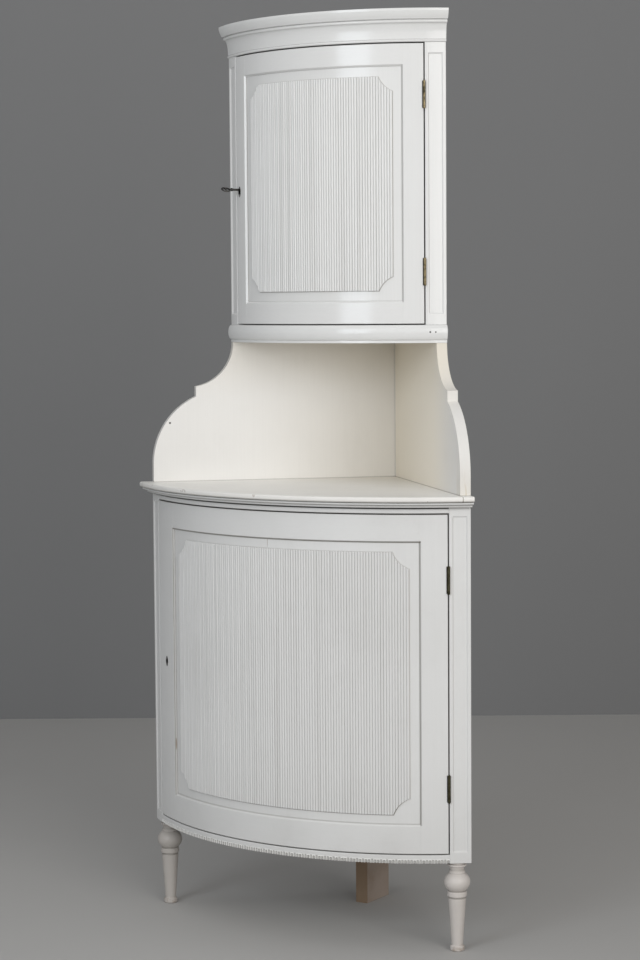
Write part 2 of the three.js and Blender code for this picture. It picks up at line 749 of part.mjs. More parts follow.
// Cornice: bead, tall hollow, ring and crown
function addCornice() {
  const coveBottom = corniceBottom + corniceBeadHeight;
  const ringBottom = coveBottom + coveHeight;
  const crownBottom = ringBottom + ringHeight;
  const crownTop = cupboardTop - crownLipHeight;
  const hollowShares = [[0, 0], [0.06, 0.35], [0.22, 0.65], [0.5, 0.87], [1, 1]];
  const coveRun = coveHeadProud - coveFootProud;
  const hollow = hollowShares.map(([out, up]) => [coveFootProud + coveRun * out, coveBottom + coveHeight * up]);
  const crownShares = [[0, 0], [0.3, 0.2], [0.62, 0.5], [0.86, 0.8], [1, 1]];
  const crownRun = crownHeadProud - crownFootProud;
  const crownRise = crownTop - crownBottom;
  const crown = crownShares.map(([out, up]) => [crownFootProud + crownRun * out, crownBottom + crownRise * up]);
  const section = [
    [-corniceDepth, corniceBottom],
    ...roundMember(0, corniceBeadProud, corniceBottom, corniceBeadHeight),
    ...hollow,
    ...roundMember(coveHeadProud, ringProud, ringBottom, ringHeight),
    ...crown,
    [crownHeadProud, cupboardTop],
    [-corniceDepth, cupboardTop],
  ];
  addPiece(upperCase, 'cornice', sweepAcross(upBow, section, (reach) => wallAngle(upBow, reach)), upperPaint);
}

// Cutter for the chamfer round a door's opening, whose arcs to left and right can differ
function openingCutter(bow, open, low, high) {
  const spread = frameChamfer + overrun;
  const section = [
    [-frameChamfer, low],
    [overrun, low - spread],
    [overrun, high + spread],
    [-frameChamfer, high],
  ];
  const splay = (reach) => frameChamfer + reach - bow.radius;
  const start = (reach) => -(open.left + splay(reach)) / bow.radius;
  const end = (reach) => (open.right + splay(reach)) / bow.radius;
  return sweepBow(bow, section, start, end);
}

function makeStile(bow, side, edgeArc, openArc, bottom, top) {
  const grooveFront = seam - panelSink;
  const grooveBack = -panelSink - panelThickness - seam;
  const grooveArc = side * (openArc + grooveDepth);
  const innerArc = side * openArc;
  const groove = [[innerArc, grooveFront], [grooveArc, grooveFront], [grooveArc, grooveBack], [innerArc, grooveBack]];
  const edge = side * edgeArc / bow.radius;
  const face = arcPoints(bow, 0, edge, innerArc / bow.radius);
  const back = arcPoints(bow, -doorThickness, innerArc / bow.radius, edge);
  const notch = groove.map(([arc, out]) => bowPoint(bow, arc, out));
  return prism([...face, ...notch, ...back], bottom, top);
}

// Rail with a groove along its edge towards the panel and a tenon at each end
function makeRail(bow, open, outerZ, innerZ) {
  const grooveFront = seam - panelSink;
  const grooveBack = -panelSink - panelThickness - seam;
  const towards = Math.sign(outerZ - innerZ);
  const grooveZ = innerZ + towards * grooveDepth;
  const section = [
    [0, outerZ],
    [0, innerZ],
    [grooveFront, innerZ],
    [grooveFront, grooveZ],
    [grooveBack, grooveZ],
    [grooveBack, innerZ],
    [-doorThickness, innerZ],
    [-doorThickness, outerZ],
  ];
  const shoulder = (word) => (open[word] - seam) / bow.radius;
  const rail = sweepBow(bow, section, () => -shoulder('left'), () => shoulder('right'));
  const low = Math.min(outerZ, grooveZ + towards * seam);
  const high = Math.max(outerZ, grooveZ + towards * seam);
  const tenonSection = boxSection(grooveBack + 2 * seam, grooveFront - 2 * seam, low, high);
  const tenons = sides.map(([word, side]) => {
    const ends = [side * (open[word] - tenonRoot), side * (open[word] + panelTongue)].sort((a, b) => a - b);
    return sweepBow(bow, tenonSection, () => ends[0] / bow.radius, () => ends[1] / bow.radius);
  });
  return join([rail, ...tenons]);
}

// Panel: plain ground, and a raised reeded field whose corners are cut off by wide hollows
function makePanel(bow, open, low, high, sideMargin, endMargin, corner) {
  const groundSection = boxSection(
    -panelSink - panelThickness,
    -panelSink,
    low - panelTongue,
    high + panelTongue,
  );
  const tongueAngle = (word) => (open[word] + panelTongue) / bow.radius;
  const ground = sweepBow(bow, groundSection, () => -tongueAngle('left'), () => tongueAngle('right'));
  const field = { left: open.left - sideMargin, right: open.right - sideMargin };
  const fieldLow = low + endMargin;
  const fieldHigh = high - endMargin;
  const width = field.left + field.right;
  const count = Math.round(width / reedPitch);
  const pitch = width / count;
  const valley = fieldRise - panelSink;
  const reedAngles = [0, 1, 2].map((step) => step * Math.PI / 3);
  const front = [];
  for (let i = 0; i < count; i += 1) {
    for (const angle of reedAngles) {
      const arc = (i + (1 - Math.cos(angle)) / 2) * pitch - field.left;
      front.push(bowPoint(bow, arc, valley + reedHeight * Math.sin(angle)));
    }
  }
  front.push(bowPoint(bow, field.right, valley));
  const back = arcPoints(bow, -panelSink - fieldBury, field.right / bow.radius, -field.left / bow.radius);
  const reeded = prism([...front, ...back], fieldLow, fieldHigh);
  const beyond = (Math.sqrt(2 * fieldHollowRadius ** 2 - corner ** 2) - corner) / 2;
  const hollows = [];
  for (const [word, side] of sides) {
    for (const height of [fieldLow - beyond, fieldHigh + beyond]) {
      const drill = rodAlongY(fieldHollowRadius, -overrun, overrun, cornerSegments);
      hollows.push(ontoBow(drill, bow, side * (field[word] + beyond), 0, height));
    }
  }
  return join([ground, cut(reeded, hollows)]);
}

function addDoor(group, prefix, bow, sizes, hinges, keyZ, material) {
  const { doorArc, stiles, bottom, top, bottomRail, topRail, sideMargin, endMargin, corner, keyFromEdge } = sizes;
  const open = { left: doorArc - stiles.left, right: doorArc - stiles.right };
  const low = bottom + bottomRail;
  const high = top - topRail;
  const opening = openingCutter(bow, open, low, high);
  const keyArc = keyFromEdge - doorArc;
  const keyhole = keyholeCutters(-overrun, doorThickness + overrun);
  for (const [word, side] of sides) {
    const fittings = side < 0
      ? keyhole.map((cutter) => ontoBow(cutter, bow, keyArc, 0, keyZ))
      : hingeBeds(bow, hinges, -1);
    const blank = makeStile(bow, side, doorArc, open[word], bottom, top);
    addPiece(group, `${prefix}_door_stile_${word}`, cut(blank, [opening, ...fittings]), material);
  }
  const rails = [['bottom', bottom, low], ['top', top, high]];
  for (const [word, outerZ, innerZ] of rails) {
    const rail = cut(makeRail(bow, open, outerZ, innerZ), [opening]);
    addPiece(group, `${prefix}_door_rail_${word}`, rail, material);
  }
  const panel = makePanel(bow, open, low, high, sideMargin, endMargin, corner);
  addPiece(group, `${prefix}_door_panel`, panel, material);
}

// Hinge knuckles: the post leaf has the outer ones and the door leaf those between
function makeLeaf(hand) {
  const inner = hingeLeafGap;
  const outer = hingeLeafGap + hingeLeafThickness;
  const halfHeight = hingeHeight / 2;
  const knuckle = hingeHeight / knuckleCount;
  const clear = hingeBarrelRadius + seam;
  const lowX = Math.min(hand * inner, hand * outer);
  const highX = Math.max(hand * inner, hand * outer);
  const far = hingeAxisProud + hingeLeafWidth;
  const bodies = [box([lowX, clear, -halfHeight], [highX, far, halfHeight])];
  const first = hand < 0 ? 1 : 0;
  for (let i = first; i < knuckleCount; i += 2) {
    const low = i * knuckle - halfHeight + seam / 2;
    const high = low + knuckle - seam;
    const barrel = new THREE.CylinderGeometry(hingeBarrelRadius, hingeBarrelRadius, high - low, knuckleSegments);
    bodies.push(barrel.rotateX(Math.PI / 2).translate(0, 0, (low + high) / 2));
    bodies.push(box([lowX, 0, low], [highX, clear + seam, high]));
  }
  const hole = new THREE.CylinderGeometry(hingePinHole, hingePinHole, hingeHeight + overrun, knuckleSegments);
  return cut(join(bodies), [hole.rotateX(Math.PI / 2)]);
}

function makePin() {
  const rodEnd = hingeHeight / 2 + seam;
  const headEnd = rodEnd + hingeHeadHeight;
  const half = [
    [hingePinRadius, rodEnd],
    [hingeHeadRadius, rodEnd],
    [hingeHeadRadius * Math.SQRT1_2, headEnd],
    [0, headEnd],
  ];
  const foot = half.map(([radius, height]) => new THREE.Vector2(radius, -height)).reverse();
  const head = half.map(([radius, height]) => new THREE.Vector2(radius, height));
  return new THREE.LatheGeometry([...foot, ...head], knuckleSegments).rotateX(Math.PI / 2);
}

function addHinges(group, prefix, bow, hinges) {
  for (const [word, height] of hinges) {
    const place = bowPoint(bow, hingeArc(bow), hingeAxisProud);
    const hinge = new THREE.Group();
    hinge.position.set(place.x, place.y, height);
    hinge.rotation.z = hingeArc(bow) / bow.radius;
    addPiece(hinge, `${prefix}_hinge_${word}_door_leaf`, makeLeaf(-1), agedBrass);
    addPiece(hinge, `${prefix}_hinge_${word}_post_leaf`, makeLeaf(1), agedBrass);
    addPiece(hinge, `${prefix}_hinge_${word}_pin`, makePin(), agedBrass);
    group.add(hinge);
  }
}

// Box lock on the back of the stile, with its bolt drawn in
function addLock(group, prefix, bow, doorArc, keyFromEdge, keyZ) {
  const keyArc = keyFromEdge - doorArc;
  const place = bowPoint(bow, keyArc, -doorThickness - lockSeat(bow, keyFromEdge));
  const lock = new THREE.Group();
  lock.position.set(place.x, place.y, keyZ);
  lock.rotation.z = keyArc / bow.radius;
  const edge = lockEdgeSet - keyFromEdge;
  const half = lockHeight / 2;
  const caseBody = box([edge, 0, -half], [lockBeyondKey, lockDepth, half]);
  const low = boltRise - boltHeight / 2;
  const high = boltRise + boltHeight / 2;
  const boltBack = boltFrontWall + boltThickness;
  const slotLow = [edge - overrun, boltFrontWall - seam, low - seam];
  const slotHigh = [edge + boltLength + seam, boltBack + seam, high + seam];
  const chamber = rodAlongY(bitChamberRadius, bitChamberFront, bitChamberBack, keyholeSegments);
  const entryBack = bitChamberFront + seam;
  const hole = rodAlongY(lockHoleRadius, -overrun, entryBack, keyholeSegments);
  const slot = box([-lockSlotWidth / 2, -overrun, -bitChamberRadius], [lockSlotWidth / 2, entryBack, 0]);
  const body = cut(caseBody, [box(slotLow, slotHigh), chamber, hole, slot]);
  addPiece(lock, `${prefix}_lock_case`, body, darkIron);
  const bolt = box([edge, boltFrontWall, low], [edge + boltLength, boltBack, high]);
  addPiece(lock, `${prefix}_lock_bolt`, bolt, keySteel);
  group.add(lock);
}

// Key turned a quarter: oval ring bow and bit lie nearly level, with collar and shank between
function makeKey() {
  const front = -keyProud;
  const bowCentre = front + keyBowLength / 2;
  const outer = new THREE.Shape();
  outer.absellipse(0, 0, keyBowWidth / 2, keyBowLength / 2, 0, 2 * Math.PI, false, 0);
  const ring = new THREE.Path();
  ring.absellipse(0, 0, keyBowWidth / 2 - keyBowRim, keyBowLength / 2 - keyBowRim, 0, 2 * Math.PI, true, 0);
  outer.holes.push(ring);
  const options = { depth: keyBowThickness, bevelEnabled: false, curveSegments: shankSegments / 2 };
  const bow = new THREE.ExtrudeGeometry(outer, options).translate(0, bowCentre, -keyBowThickness / 2);
  const shankStart = front + keyBowLength - keyBowRim / 2;
  const lockFront = doorThickness + lockSeat(upBow, upKeyFromEdge);
  const tip = lockFront + bitChamberBack - 2 * seam;
  const shank = rodAlongY(keyShankRadius, shankStart, tip, shankSegments);
  const collarStart = shankStart + keyBowRim;
  const collar = rodAlongY(keyCollarRadius, collarStart, collarStart + keyCollarLength, shankSegments);
  const bitFront = lockFront + bitChamberFront + 2 * seam;
  const bit = box([0, bitFront, -keyBitThickness / 2], [keyBitReach, tip, keyBitThickness / 2]);
  const halfBar = [keyBowWidth / 2 - keyBowRim / 2, keyBowBar / 2, keyBowThickness / 2];
  const bar = box(halfBar.map((size) => -size), halfBar).translate(0, bowCentre, 0);
  return join([bow, bar, shank, collar, bit]).rotateY(keyTilt);
}

// The key stands in the upper lock
function addKey() {
  const keyArc = upKeyFromEdge - upDoorArc;
  const place = bowPoint(upBow, keyArc, 0);
  const key = addPiece(upperDoor, 'upper_key', makeKey(), keySteel);
  key.position.set(place.x, place.y, upKeyZ);
  key.rotation.z = keyArc / upBow.radius;
}

const lowDoorSizes = {
  doorArc: lowDoorArc,
  stiles: { left: lowLockStileWidth, right: lowHingeStileWidth },
  bottom: lowDoorBottom,
  top: lowDoorTop,
  bottomRail: lowDoorBottomRail,
  topRail: lowDoorTopRail,
  sideMargin: lowFieldSideMargin,
  endMargin: lowFieldEndMargin,
  corner: lowFieldCorner,
  keyFromEdge: lowKeyFromEdge,
};

const upDoorSizes = {
  doorArc: upDoorArc,
  stiles: { left: upStileWidth, right: upStileWidth },
  bottom: upDoorBottom,
  top: upDoorTop,
  bottomRail: upDoorBottomRail,
  topRail: upDoorTopRail,
  sideMargin: upFieldSideMargin,
  endMargin: upFieldEndMargin,
  corner: upFieldCorner,
  keyFromEdge: upKeyFromEdge,
};

addLegs();
addLowerCase();
addCounter();
addUpperCase();
addPlinth();
addCornice();
addDoor(lowerDoor, 'lower', lowBow, lowDoorSizes, lowHinges, lowKeyZ, lowerPaint);
addDoor(upperDoor, 'upper', upBow, upDoorSizes, upHinges, upKeyZ, upperPaint);
addHinges(lowerDoor, 'lower', lowBow, lowHinges);
addHinges(upperDoor, 'upper', upBow, upHinges);
addLock(lowerDoor, 'lower', lowBow, lowDoorArc, lowKeyFromEdge, lowKeyZ);
addLock(upperDoor, 'upper', upBow, upDoorArc, upKeyFromEdge, upKeyZ);
addKey();

// Origin at the middle of the footprint, on the floor
const counterFrontY = lowBow.centreY - lowBow.radius - counterOverhang;
cupboard.position.y = -(counterFrontY + lowHalfWidth) / 2;

export default cupboard;
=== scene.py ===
"""Looks of a bow-fronted corner cupboard: painted wood, reeded doors, brass hinges and a key.

Metres, +Z up, front towards -Y. The two walls behind it meet at the rear corner.
"""

import math
from functools import partial

import bmesh
import bpy
from bpy.props import FloatProperty, FloatVectorProperty, PointerProperty
from mathutils import Matrix, Vector

import json


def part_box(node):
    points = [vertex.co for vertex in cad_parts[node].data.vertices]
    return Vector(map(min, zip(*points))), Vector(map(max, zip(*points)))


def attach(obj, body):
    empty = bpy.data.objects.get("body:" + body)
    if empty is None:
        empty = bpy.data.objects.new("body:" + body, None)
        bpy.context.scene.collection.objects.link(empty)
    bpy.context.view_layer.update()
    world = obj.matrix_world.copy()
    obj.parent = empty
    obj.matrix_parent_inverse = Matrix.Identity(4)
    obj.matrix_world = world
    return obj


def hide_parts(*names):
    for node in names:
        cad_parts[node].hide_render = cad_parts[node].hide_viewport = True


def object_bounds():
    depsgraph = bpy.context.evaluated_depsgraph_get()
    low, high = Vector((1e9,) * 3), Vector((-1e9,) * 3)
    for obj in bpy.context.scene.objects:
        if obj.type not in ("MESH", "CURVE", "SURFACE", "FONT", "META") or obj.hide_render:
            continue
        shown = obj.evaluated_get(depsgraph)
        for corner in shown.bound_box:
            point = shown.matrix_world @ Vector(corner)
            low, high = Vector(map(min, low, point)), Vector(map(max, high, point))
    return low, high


bl_info = {
    "name": "Corner Cupboard",
    "version": (1, 0, 0),
    "blender": (4, 5, 0),
    "location": "3D View > Sidebar > Cupboard",
    "description": "Finished pieces, paint and stage of a bow-fronted corner cupboard",
    "category": "Object",
}

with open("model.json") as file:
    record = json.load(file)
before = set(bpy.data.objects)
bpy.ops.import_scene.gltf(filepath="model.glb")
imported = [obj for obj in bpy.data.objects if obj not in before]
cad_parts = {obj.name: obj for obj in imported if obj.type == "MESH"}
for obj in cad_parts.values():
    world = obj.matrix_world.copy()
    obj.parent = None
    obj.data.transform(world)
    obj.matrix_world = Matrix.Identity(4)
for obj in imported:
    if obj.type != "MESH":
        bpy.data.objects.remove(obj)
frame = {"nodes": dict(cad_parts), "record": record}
CAD_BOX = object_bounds()
SIDES = (("left", -1), ("right", 1))
WALL_CORNER_Y = CAD_BOX[1].y
CREASE = math.radians(32)
FLAT_ANGLE = math.radians(0.2)
NODE_FLAT_ANGLE = math.radians(0.5)
MERGE = 0.00001
OVERRUN = 0.02
WOBBLE_TURN = 2.4


def length(name, default, description):
    """Property that holds a size in metres."""
    return FloatProperty(name=name, description=description, default=default, min=0.0,
                         precision=4, unit="LENGTH")


def colour(name, default, description):
    """Property that holds a colour."""
    return FloatVectorProperty(name=name, description=description, default=default, size=3, min=0.0, max=1.0,
                               subtype="COLOR")


def share(name, default, description):
    """Property that holds a number from nought to one."""
    return FloatProperty(name=name, description=description, default=default, min=0.0, max=1.0,
                         subtype="FACTOR")


def bearing(name, degrees, description):
    """Property that holds a turn of the camera."""
    return FloatProperty(name=name, description=description, default=math.radians(degrees),
                         unit="ROTATION")


def watts(name, default, description):
    """Property that holds the power of a light."""
    return FloatProperty(name=name, description=description, default=default, min=0.0)


class CupboardSizes(bpy.types.PropertyGroup):
    """Sizes of the cupboard's pieces"""

    low_half_width: length("Lower half width", 0.4365, "Half the width of the lower case at the walls")
    low_bow_rise: length("Lower bow", 0.160, "How far the lower front stands out in the middle")
    up_half_width: length("Upper half width", 0.2983, "Half the width of the upper case at the walls")
    up_bow_rise: length("Upper bow", 0.107, "How far the upper front stands out in the middle")
    rib: length("Bow step", 0.006, "Length of the steps that make the bowed faces")
    board: length("Board", 0.024, "Thickness of the wall boards")
    post_width: length("Post width", 0.0484, "Width of a corner post along the bow")
    post_depth: length("Post depth", 0.046, "Depth of a corner post along the wall")
    sunk_side: length("Sunk frame side", 0.0098, "Margin beside the sunk frame of a post")
    low_sunk_top: length("Lower sunk frame top", 0.035, "Margin over the sunk frame of a lower post")
    up_sunk_top: length("Upper sunk frame top", 0.0259, "Margin over the sunk frame of an upper post")
    sunk_bottom: length("Sunk frame bottom", 0.027, "Margin under the sunk frame of a post")
    sunk_depth: length("Sunk frame depth", 0.0026, "Depth of the sunk frame of a post")
    sunk_slope: length("Sunk frame slope", 0.0024, "Width of the sloping edge of the sunk frame")
    arris: length("Arris", 0.0017, "Rounding of the edges beside the doors")
    soft_edge: length("Soft edge", 0.0007, "Rounding of the other edges")
    joint_edge: length("Joint edge", 0.0003, "Rounding where two members meet")
    door_gap: length("Door gap", 0.0026, "Gap round a door")
    door_thickness: length("Door thickness", 0.024, "Thickness of a door's frame")
    chamfer: length("Frame chamfer", 0.004, "Chamfer round the opening of a door's frame")
    panel_sink: length("Panel sink", 0.0054, "Depth of the panel's ground behind the frame")
    panel_thickness: length("Panel thickness", 0.0086, "Thickness of a panel")
    panel_tongue: length("Panel tongue", 0.008, "How far a panel enters its grooves")
    groove: length("Groove", 0.009, "Depth of the grooves in a door's frame")
    field_rise: length("Field rise", 0.0022, "Step from the ground up to the reeded field")
    field_bury: length("Field foot", 0.0012, "How far the field is carried below the ground")
    reed_height: length("Reed height", 0.0024, "Height of a reed")
    reed_pitch: length("Reed pitch", 0.0064, "Width of a reed")
    hollow_radius: length("Hollow corner", 0.061, "Radius of the hollows that cut off a field's corners")
    low_lock_stile: length("Lower lock stile", 0.0925, "Width of the lower door's stile with the lock")
    low_hinge_stile: length("Lower hinge stile", 0.0628, "Width of the lower door's hinged stile")
    low_side_margin: length("Lower side margin", 0.023, "From the lower frame to its field")
    low_end_margin: length("Lower end margin", 0.021, "From the lower rails to the field")
    low_corner: length("Lower hollow reach", 0.037, "How far a hollow reaches along the lower field's sides")
    low_key: length("Lower keyhole set", 0.048, "From the lower door's edge to its keyhole")
    up_stile: length("Upper stile", 0.050, "Width of the upper door's stiles")
    up_side_margin: length("Upper side margin", 0.021, "From the upper frame to its field")
    up_end_margin: length("Upper end margin", 0.0225, "From the upper rails to the field")
    up_corner: length("Upper hollow reach", 0.0325, "How far a hollow reaches along the upper field's sides")
    up_key: length("Upper keyhole set", 0.016, "From the upper door's edge to its keyhole")
    keyhole_head: length("Keyhole head", 0.0062, "Radius of a keyhole's worn head")
    keyhole_foot: length("Keyhole foot", 0.0056, "Radius of a keyhole's foot")
    keyhole_waist: length("Keyhole waist", 0.0085, "Width of a keyhole's waist")
    keyhole_height: length("Keyhole height", 0.0225, "Height of a keyhole")
    gouge_pitch: length("Gouge pitch", 0.0068, "Spacing of the gouges along the bottom rail")
    gouge_depth: length("Gouge depth", 0.0034, "Depth of a gouge")
    gouge_height: length("Gouge height", 0.0095, "Height of a gouge")
    rail_depth: length("Rail depth", 0.022, "Depth of the bottom rail")
    quirk_height: length("Quirk height", 0.0042, "Height of the quirk under the counter's moulding")
    quirk_depth: length("Quirk depth", 0.005, "Depth of the quirk under the counter's moulding")
    top_rail_depth: length("Top rail depth", 0.040, "Depth of the top rail")
    nose_out: length("Counter overhang", 0.031, "How far the counter stands out")
    nose_round: length("Counter nose", 0.0046, "Rounding of the counter's nose")
    leg_from_wall: length("Leg from wall", 0.0291, "From the wall along the bow to a leg's axis")
    leg_set_in: length("Leg set in", 0.0246, "From the bow in to a leg's axis")


class CupboardFinish(bpy.types.PropertyGroup):
    """Colours and gloss of the cupboard's finishes"""

    upper_paint: colour("Upper paint", (0.775, 0.770, 0.757), "Paint of the upper case")
    lower_paint: colour("Lower paint", (0.735, 0.730, 0.718), "Paint of the lower case")
    # Lighter than the other paints: partly the counter's own paint, partly painted light falling on its top
    counter_paint_and_light: colour("Counter paint", (0.92, 0.905, 0.870), "Paint of the counter")
    niche_paint: colour("Niche paint", (0.815, 0.795, 0.765), "Paint of the wall boards and the open niche")
    # Colour of the real resin stain on the right wing, and of painted warm shade towards the niche's corner,
    # under its head and on the counter's corner
    niche_stain_and_shade: colour("Niche stain", (0.56, 0.48, 0.34), "Yellowed paint in the corner of the niche")
    leg_paint: colour("Leg paint", (0.73, 0.68, 0.645), "Worn paint of the legs")
    old_wood: colour("Old wood", (0.42, 0.345, 0.295), "Rubbed wood of the rear leg")
    # Painted warm bounce light on the niche's right board
    niche_bounce_light: colour("Niche warmth", (0.93, 0.86, 0.73), "Warmer paint of the niche's right board")
    # Dark colour of real soiling in the paint and of dark joints, and of painted shade in recesses, gaps,
    # grooves and on chamfers
    grime_and_shade: colour("Grime", (0.20, 0.185, 0.155), "Dirt held in the recesses")
    # Painted highlight on the ridges between the gouges, partly also cleaner rubbed paint
    scuff_and_highlight: colour("Scuffed paint", (0.96, 0.95, 0.92), "Bright paint on the ridges between the gouges")
    shadow: colour("Shadow", (0.012, 0.011, 0.010), "Depths of the gaps and keyholes")
    # Colour of bare wood, also used for painted shade on the front of the rear leg's plank
    bare_wood_and_shade: colour("Bare wood", (0.23, 0.15, 0.085), "Wood where the paint has gone")
    brass: colour("Brass", (0.25, 0.20, 0.115), "Aged brass of the upper hinges")
    dull_brass: colour("Dull brass", (0.085, 0.078, 0.045), "Blackened brass of the lower hinges")
    tarnish: colour("Tarnish", (0.045, 0.040, 0.025), "Dark patches on the brass")
    iron: colour("Iron", (0.045, 0.042, 0.038), "Dark iron of the lock cases")
    steel: colour("Steel", (0.35, 0.34, 0.32), "Worn steel of the bolts")
    key_steel: colour("Key steel", (0.11, 0.105, 0.10), "Dark steel of the key")
    upper_gloss: share("Upper roughness", 0.16, "Roughness of the upper paint")
    lower_gloss: share("Lower roughness", 0.38, "Roughness of the lower paint")


class StageSettings(bpy.types.PropertyGroup):
    """Camera, lights and floor"""

    camera_place: FloatVectorProperty(name="Camera", description="Where the camera stands",
                                      default=(2.9111, -4.53305, 1.4497), size=3, unit="LENGTH")
    yaw: bearing("Yaw", 33.042, "Turn of the camera")
    dip: bearing("Dip", 4.433, "How far the camera looks down")
    roll: bearing("Roll", -0.421, "Roll of the camera")
    lens: FloatProperty(name="Lens", description="Focal length in millimetres", default=86.59, min=1.0)
    key_power: watts("Key light", 146.0, "Watts of the large light")
    window_power: watts("Window light", 55.0, "Watts of the tall light")
    front_power: watts("Front light", 35.0, "Watts of the front light")
    fill_power: watts("Fill light", 30.0, "Watts of the overhead light")
    floor_colour: colour("Floor", (0.50, 0.49, 0.475), "Colour of the floor")
    backdrop_colour: colour("Backdrop", (0.235, 0.235, 0.237), "Colour of the backdrop")


class Bow:
    """Plan of a bowed front: an arc about an upright axis that ends on the two walls."""

    def __init__(self, half_width, rise):
        self.half_width = half_width
        self.chord_y = WALL_CORNER_Y - half_width
        self.radius = (half_width ** 2 + rise ** 2) / (2 * rise)
        self.centre_y = self.chord_y + self.radius - rise
        self.end_arc = self.radius * math.asin(half_width / self.radius)

    def place(self, arc, out, height):
        """Point at an arc length from the middle and a distance out from the bow."""
        angle = arc / self.radius
        reach = self.radius + out
        return Vector((reach * math.sin(angle), self.centre_y - reach * math.cos(angle), height))

    def seat(self, arc, out, height):
        """Matrix that carries a small piece, x along the front and -y out of it, to its place."""
        return Matrix.Translation(self.place(arc, out, height)) @ Matrix.Rotation(arc / self.radius, 4, "Z")

    def bend(self, bm):
        """Carry a flat piece, x along the front and -y out of it, round the bow."""
        for vert in bm.verts:
            vert.co = self.place(vert.co.x, -vert.co.y, vert.co.z)


class DoorPlan:
    """Arcs and heights of one door."""

    def __init__(self, prefix, bow, sizes, stiles, side_margin, end_margin, corner, key_set, frame_top):
        self.prefix = prefix
        self.bow = bow
        self.body = f"{prefix}_door"
        self.slot = f"{prefix}_paint"
        self.post_arc = bow.end_arc - sizes.post_width
        self.door_arc = self.post_arc - sizes.door_gap
        self.hinge_arc = self.post_arc - sizes.door_gap / 2
        self.open_left = self.door_arc - stiles[0]
        self.open_right = self.door_arc - stiles[1]
        low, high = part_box(f"{prefix}_door_stile_left")
        self.low = low.z
        self.high = high.z
        self.open_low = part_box(f"{prefix}_door_rail_bottom")[1].z
        self.open_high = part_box(f"{prefix}_door_rail_top")[0].z
        self.side_margin = side_margin
        self.end_margin = end_margin
        self.corner = corner
        self.key_arc = key_set - self.door_arc
        self.frame_top = frame_top
        self.beyond = (math.sqrt(2 * sizes.hollow_radius ** 2 - corner ** 2) - corner) / 2

    def open_end(self, side):
        """Arc at which the opening ends on one side."""
        return self.open_right if side > 0 else -self.open_left


def low_bow(sizes):
    return Bow(sizes.low_half_width, sizes.low_bow_rise)


def up_bow(sizes):
    return Bow(sizes.up_half_width, sizes.up_bow_rise)


def door_plans(sizes):
    """Both doors."""
    lower_stiles = (sizes.low_lock_stile, sizes.low_hinge_stile)
    upper_stiles = (sizes.up_stile, sizes.up_stile)
    lower = DoorPlan("lower", low_bow(sizes), sizes, lower_stiles, sizes.low_side_margin,
                     sizes.low_end_margin, sizes.low_corner, sizes.low_key, sizes.low_sunk_top)
    upper = DoorPlan("upper", up_bow(sizes), sizes, upper_stiles, sizes.up_side_margin,
                     sizes.up_end_margin, sizes.up_corner, sizes.up_key, sizes.up_sunk_top)
    return lower, upper


def middle_height(node):
    """Height of the middle of a CAD node."""
    low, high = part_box(node)
    return (low.z + high.z) / 2


# Mesh helpers: pieces on a bow are made flat and then bent round it


def block(bm, low, high):
    """Box between two corners."""
    low = Vector(low)
    high = Vector(high)
    place = Matrix.Translation((low + high) / 2) @ Matrix.Diagonal(high - low).to_4x4()
    return bmesh.ops.create_cube(bm, size=1.0, matrix=place)["verts"]


def block_mesh(low, high):
    bm = bmesh.new()
    block(bm, low, high)
    return bm


def tapered_cutter(low, high, grow):
    """Cutter whose front is wider and taller than its floor by a margin all round."""
    bm = bmesh.new()
    middle = (Vector(low) + Vector(high)) / 2
    for vert in block(bm, low, high):
        if vert.co.y < middle.y:
            vert.co.x += math.copysign(grow, vert.co.x - middle.x)
            vert.co.z += math.copysign(grow, vert.co.z - middle.z)
    return bm


def rod(bm, radius, start, end, segments):
    """Round bar along y."""
    turn = Matrix.Translation((0, (start + end) / 2, 0)) @ Matrix.Rotation(math.pi / 2, 4, "X")
    bmesh.ops.create_cone(bm, cap_ends=True, segments=segments, radius1=radius, radius2=radius,
                          depth=end - start, matrix=turn)


def draw_section(bm, section, start, end):
    """Solid drawn along x from a closed section of (out, height) points."""
    pairs = zip(section, section[-1:] + section)
    clear = [point for point, last in pairs if math.dist(point, last) > MERGE]
    face = bm.faces.new([bm.verts.new((start, -out, height)) for out, height in clear])
    drawn = bmesh.ops.extrude_face_region(bm, geom=[face])["geom"]
    moved = [item for item in drawn if isinstance(item, bmesh.types.BMVert)]
    bmesh.ops.translate(bm, verts=moved, vec=(end - start, 0, 0))


def everything(bm):
    return bm.verts[:] + bm.edges[:] + bm.faces[:]


def rib(bm, pitch):
    """Cut a flat piece across at even steps so that it can bend."""
    low = min(vert.co.x for vert in bm.verts)
    high = max(vert.co.x for vert in bm.verts)
    count = math.ceil((high - low) / pitch)
    for step in range(1, count):
        place = (low + (high - low) * step / count, 0, 0)
        bmesh.ops.bisect_plane(bm, geom=everything(bm), plane_co=place, plane_no=(1, 0, 0),
                               dist=MERGE)


def trim(bm, point, normal):
    """Cut away what lies past a plane and close the cut."""
    made = bmesh.ops.bisect_plane(bm, geom=everything(bm), plane_co=point, plane_no=normal,
                                  clear_outer=True, dist=MERGE)
    edges = [item for item in made["geom_cut"] if isinstance(item, bmesh.types.BMEdge)]
    bmesh.ops.holes_fill(bm, edges=edges)


def wall_normal(side):
    return Vector((side, 1, 0)).normalized()


def wall_frame(sizes, side):
    """Matrix that carries x to along a wall from its front edge, and y to inwards from the wall."""
    foot = (side * sizes.low_half_width, WALL_CORNER_Y - sizes.low_half_width, 0)
    turn = math.pi / 4 if side < 0 else 3 * math.pi / 4
    mirror = Matrix.Diagonal((1, side, 1, 1))
    return Matrix.Translation(foot) @ Matrix.Rotation(turn, 4, "Z") @ mirror


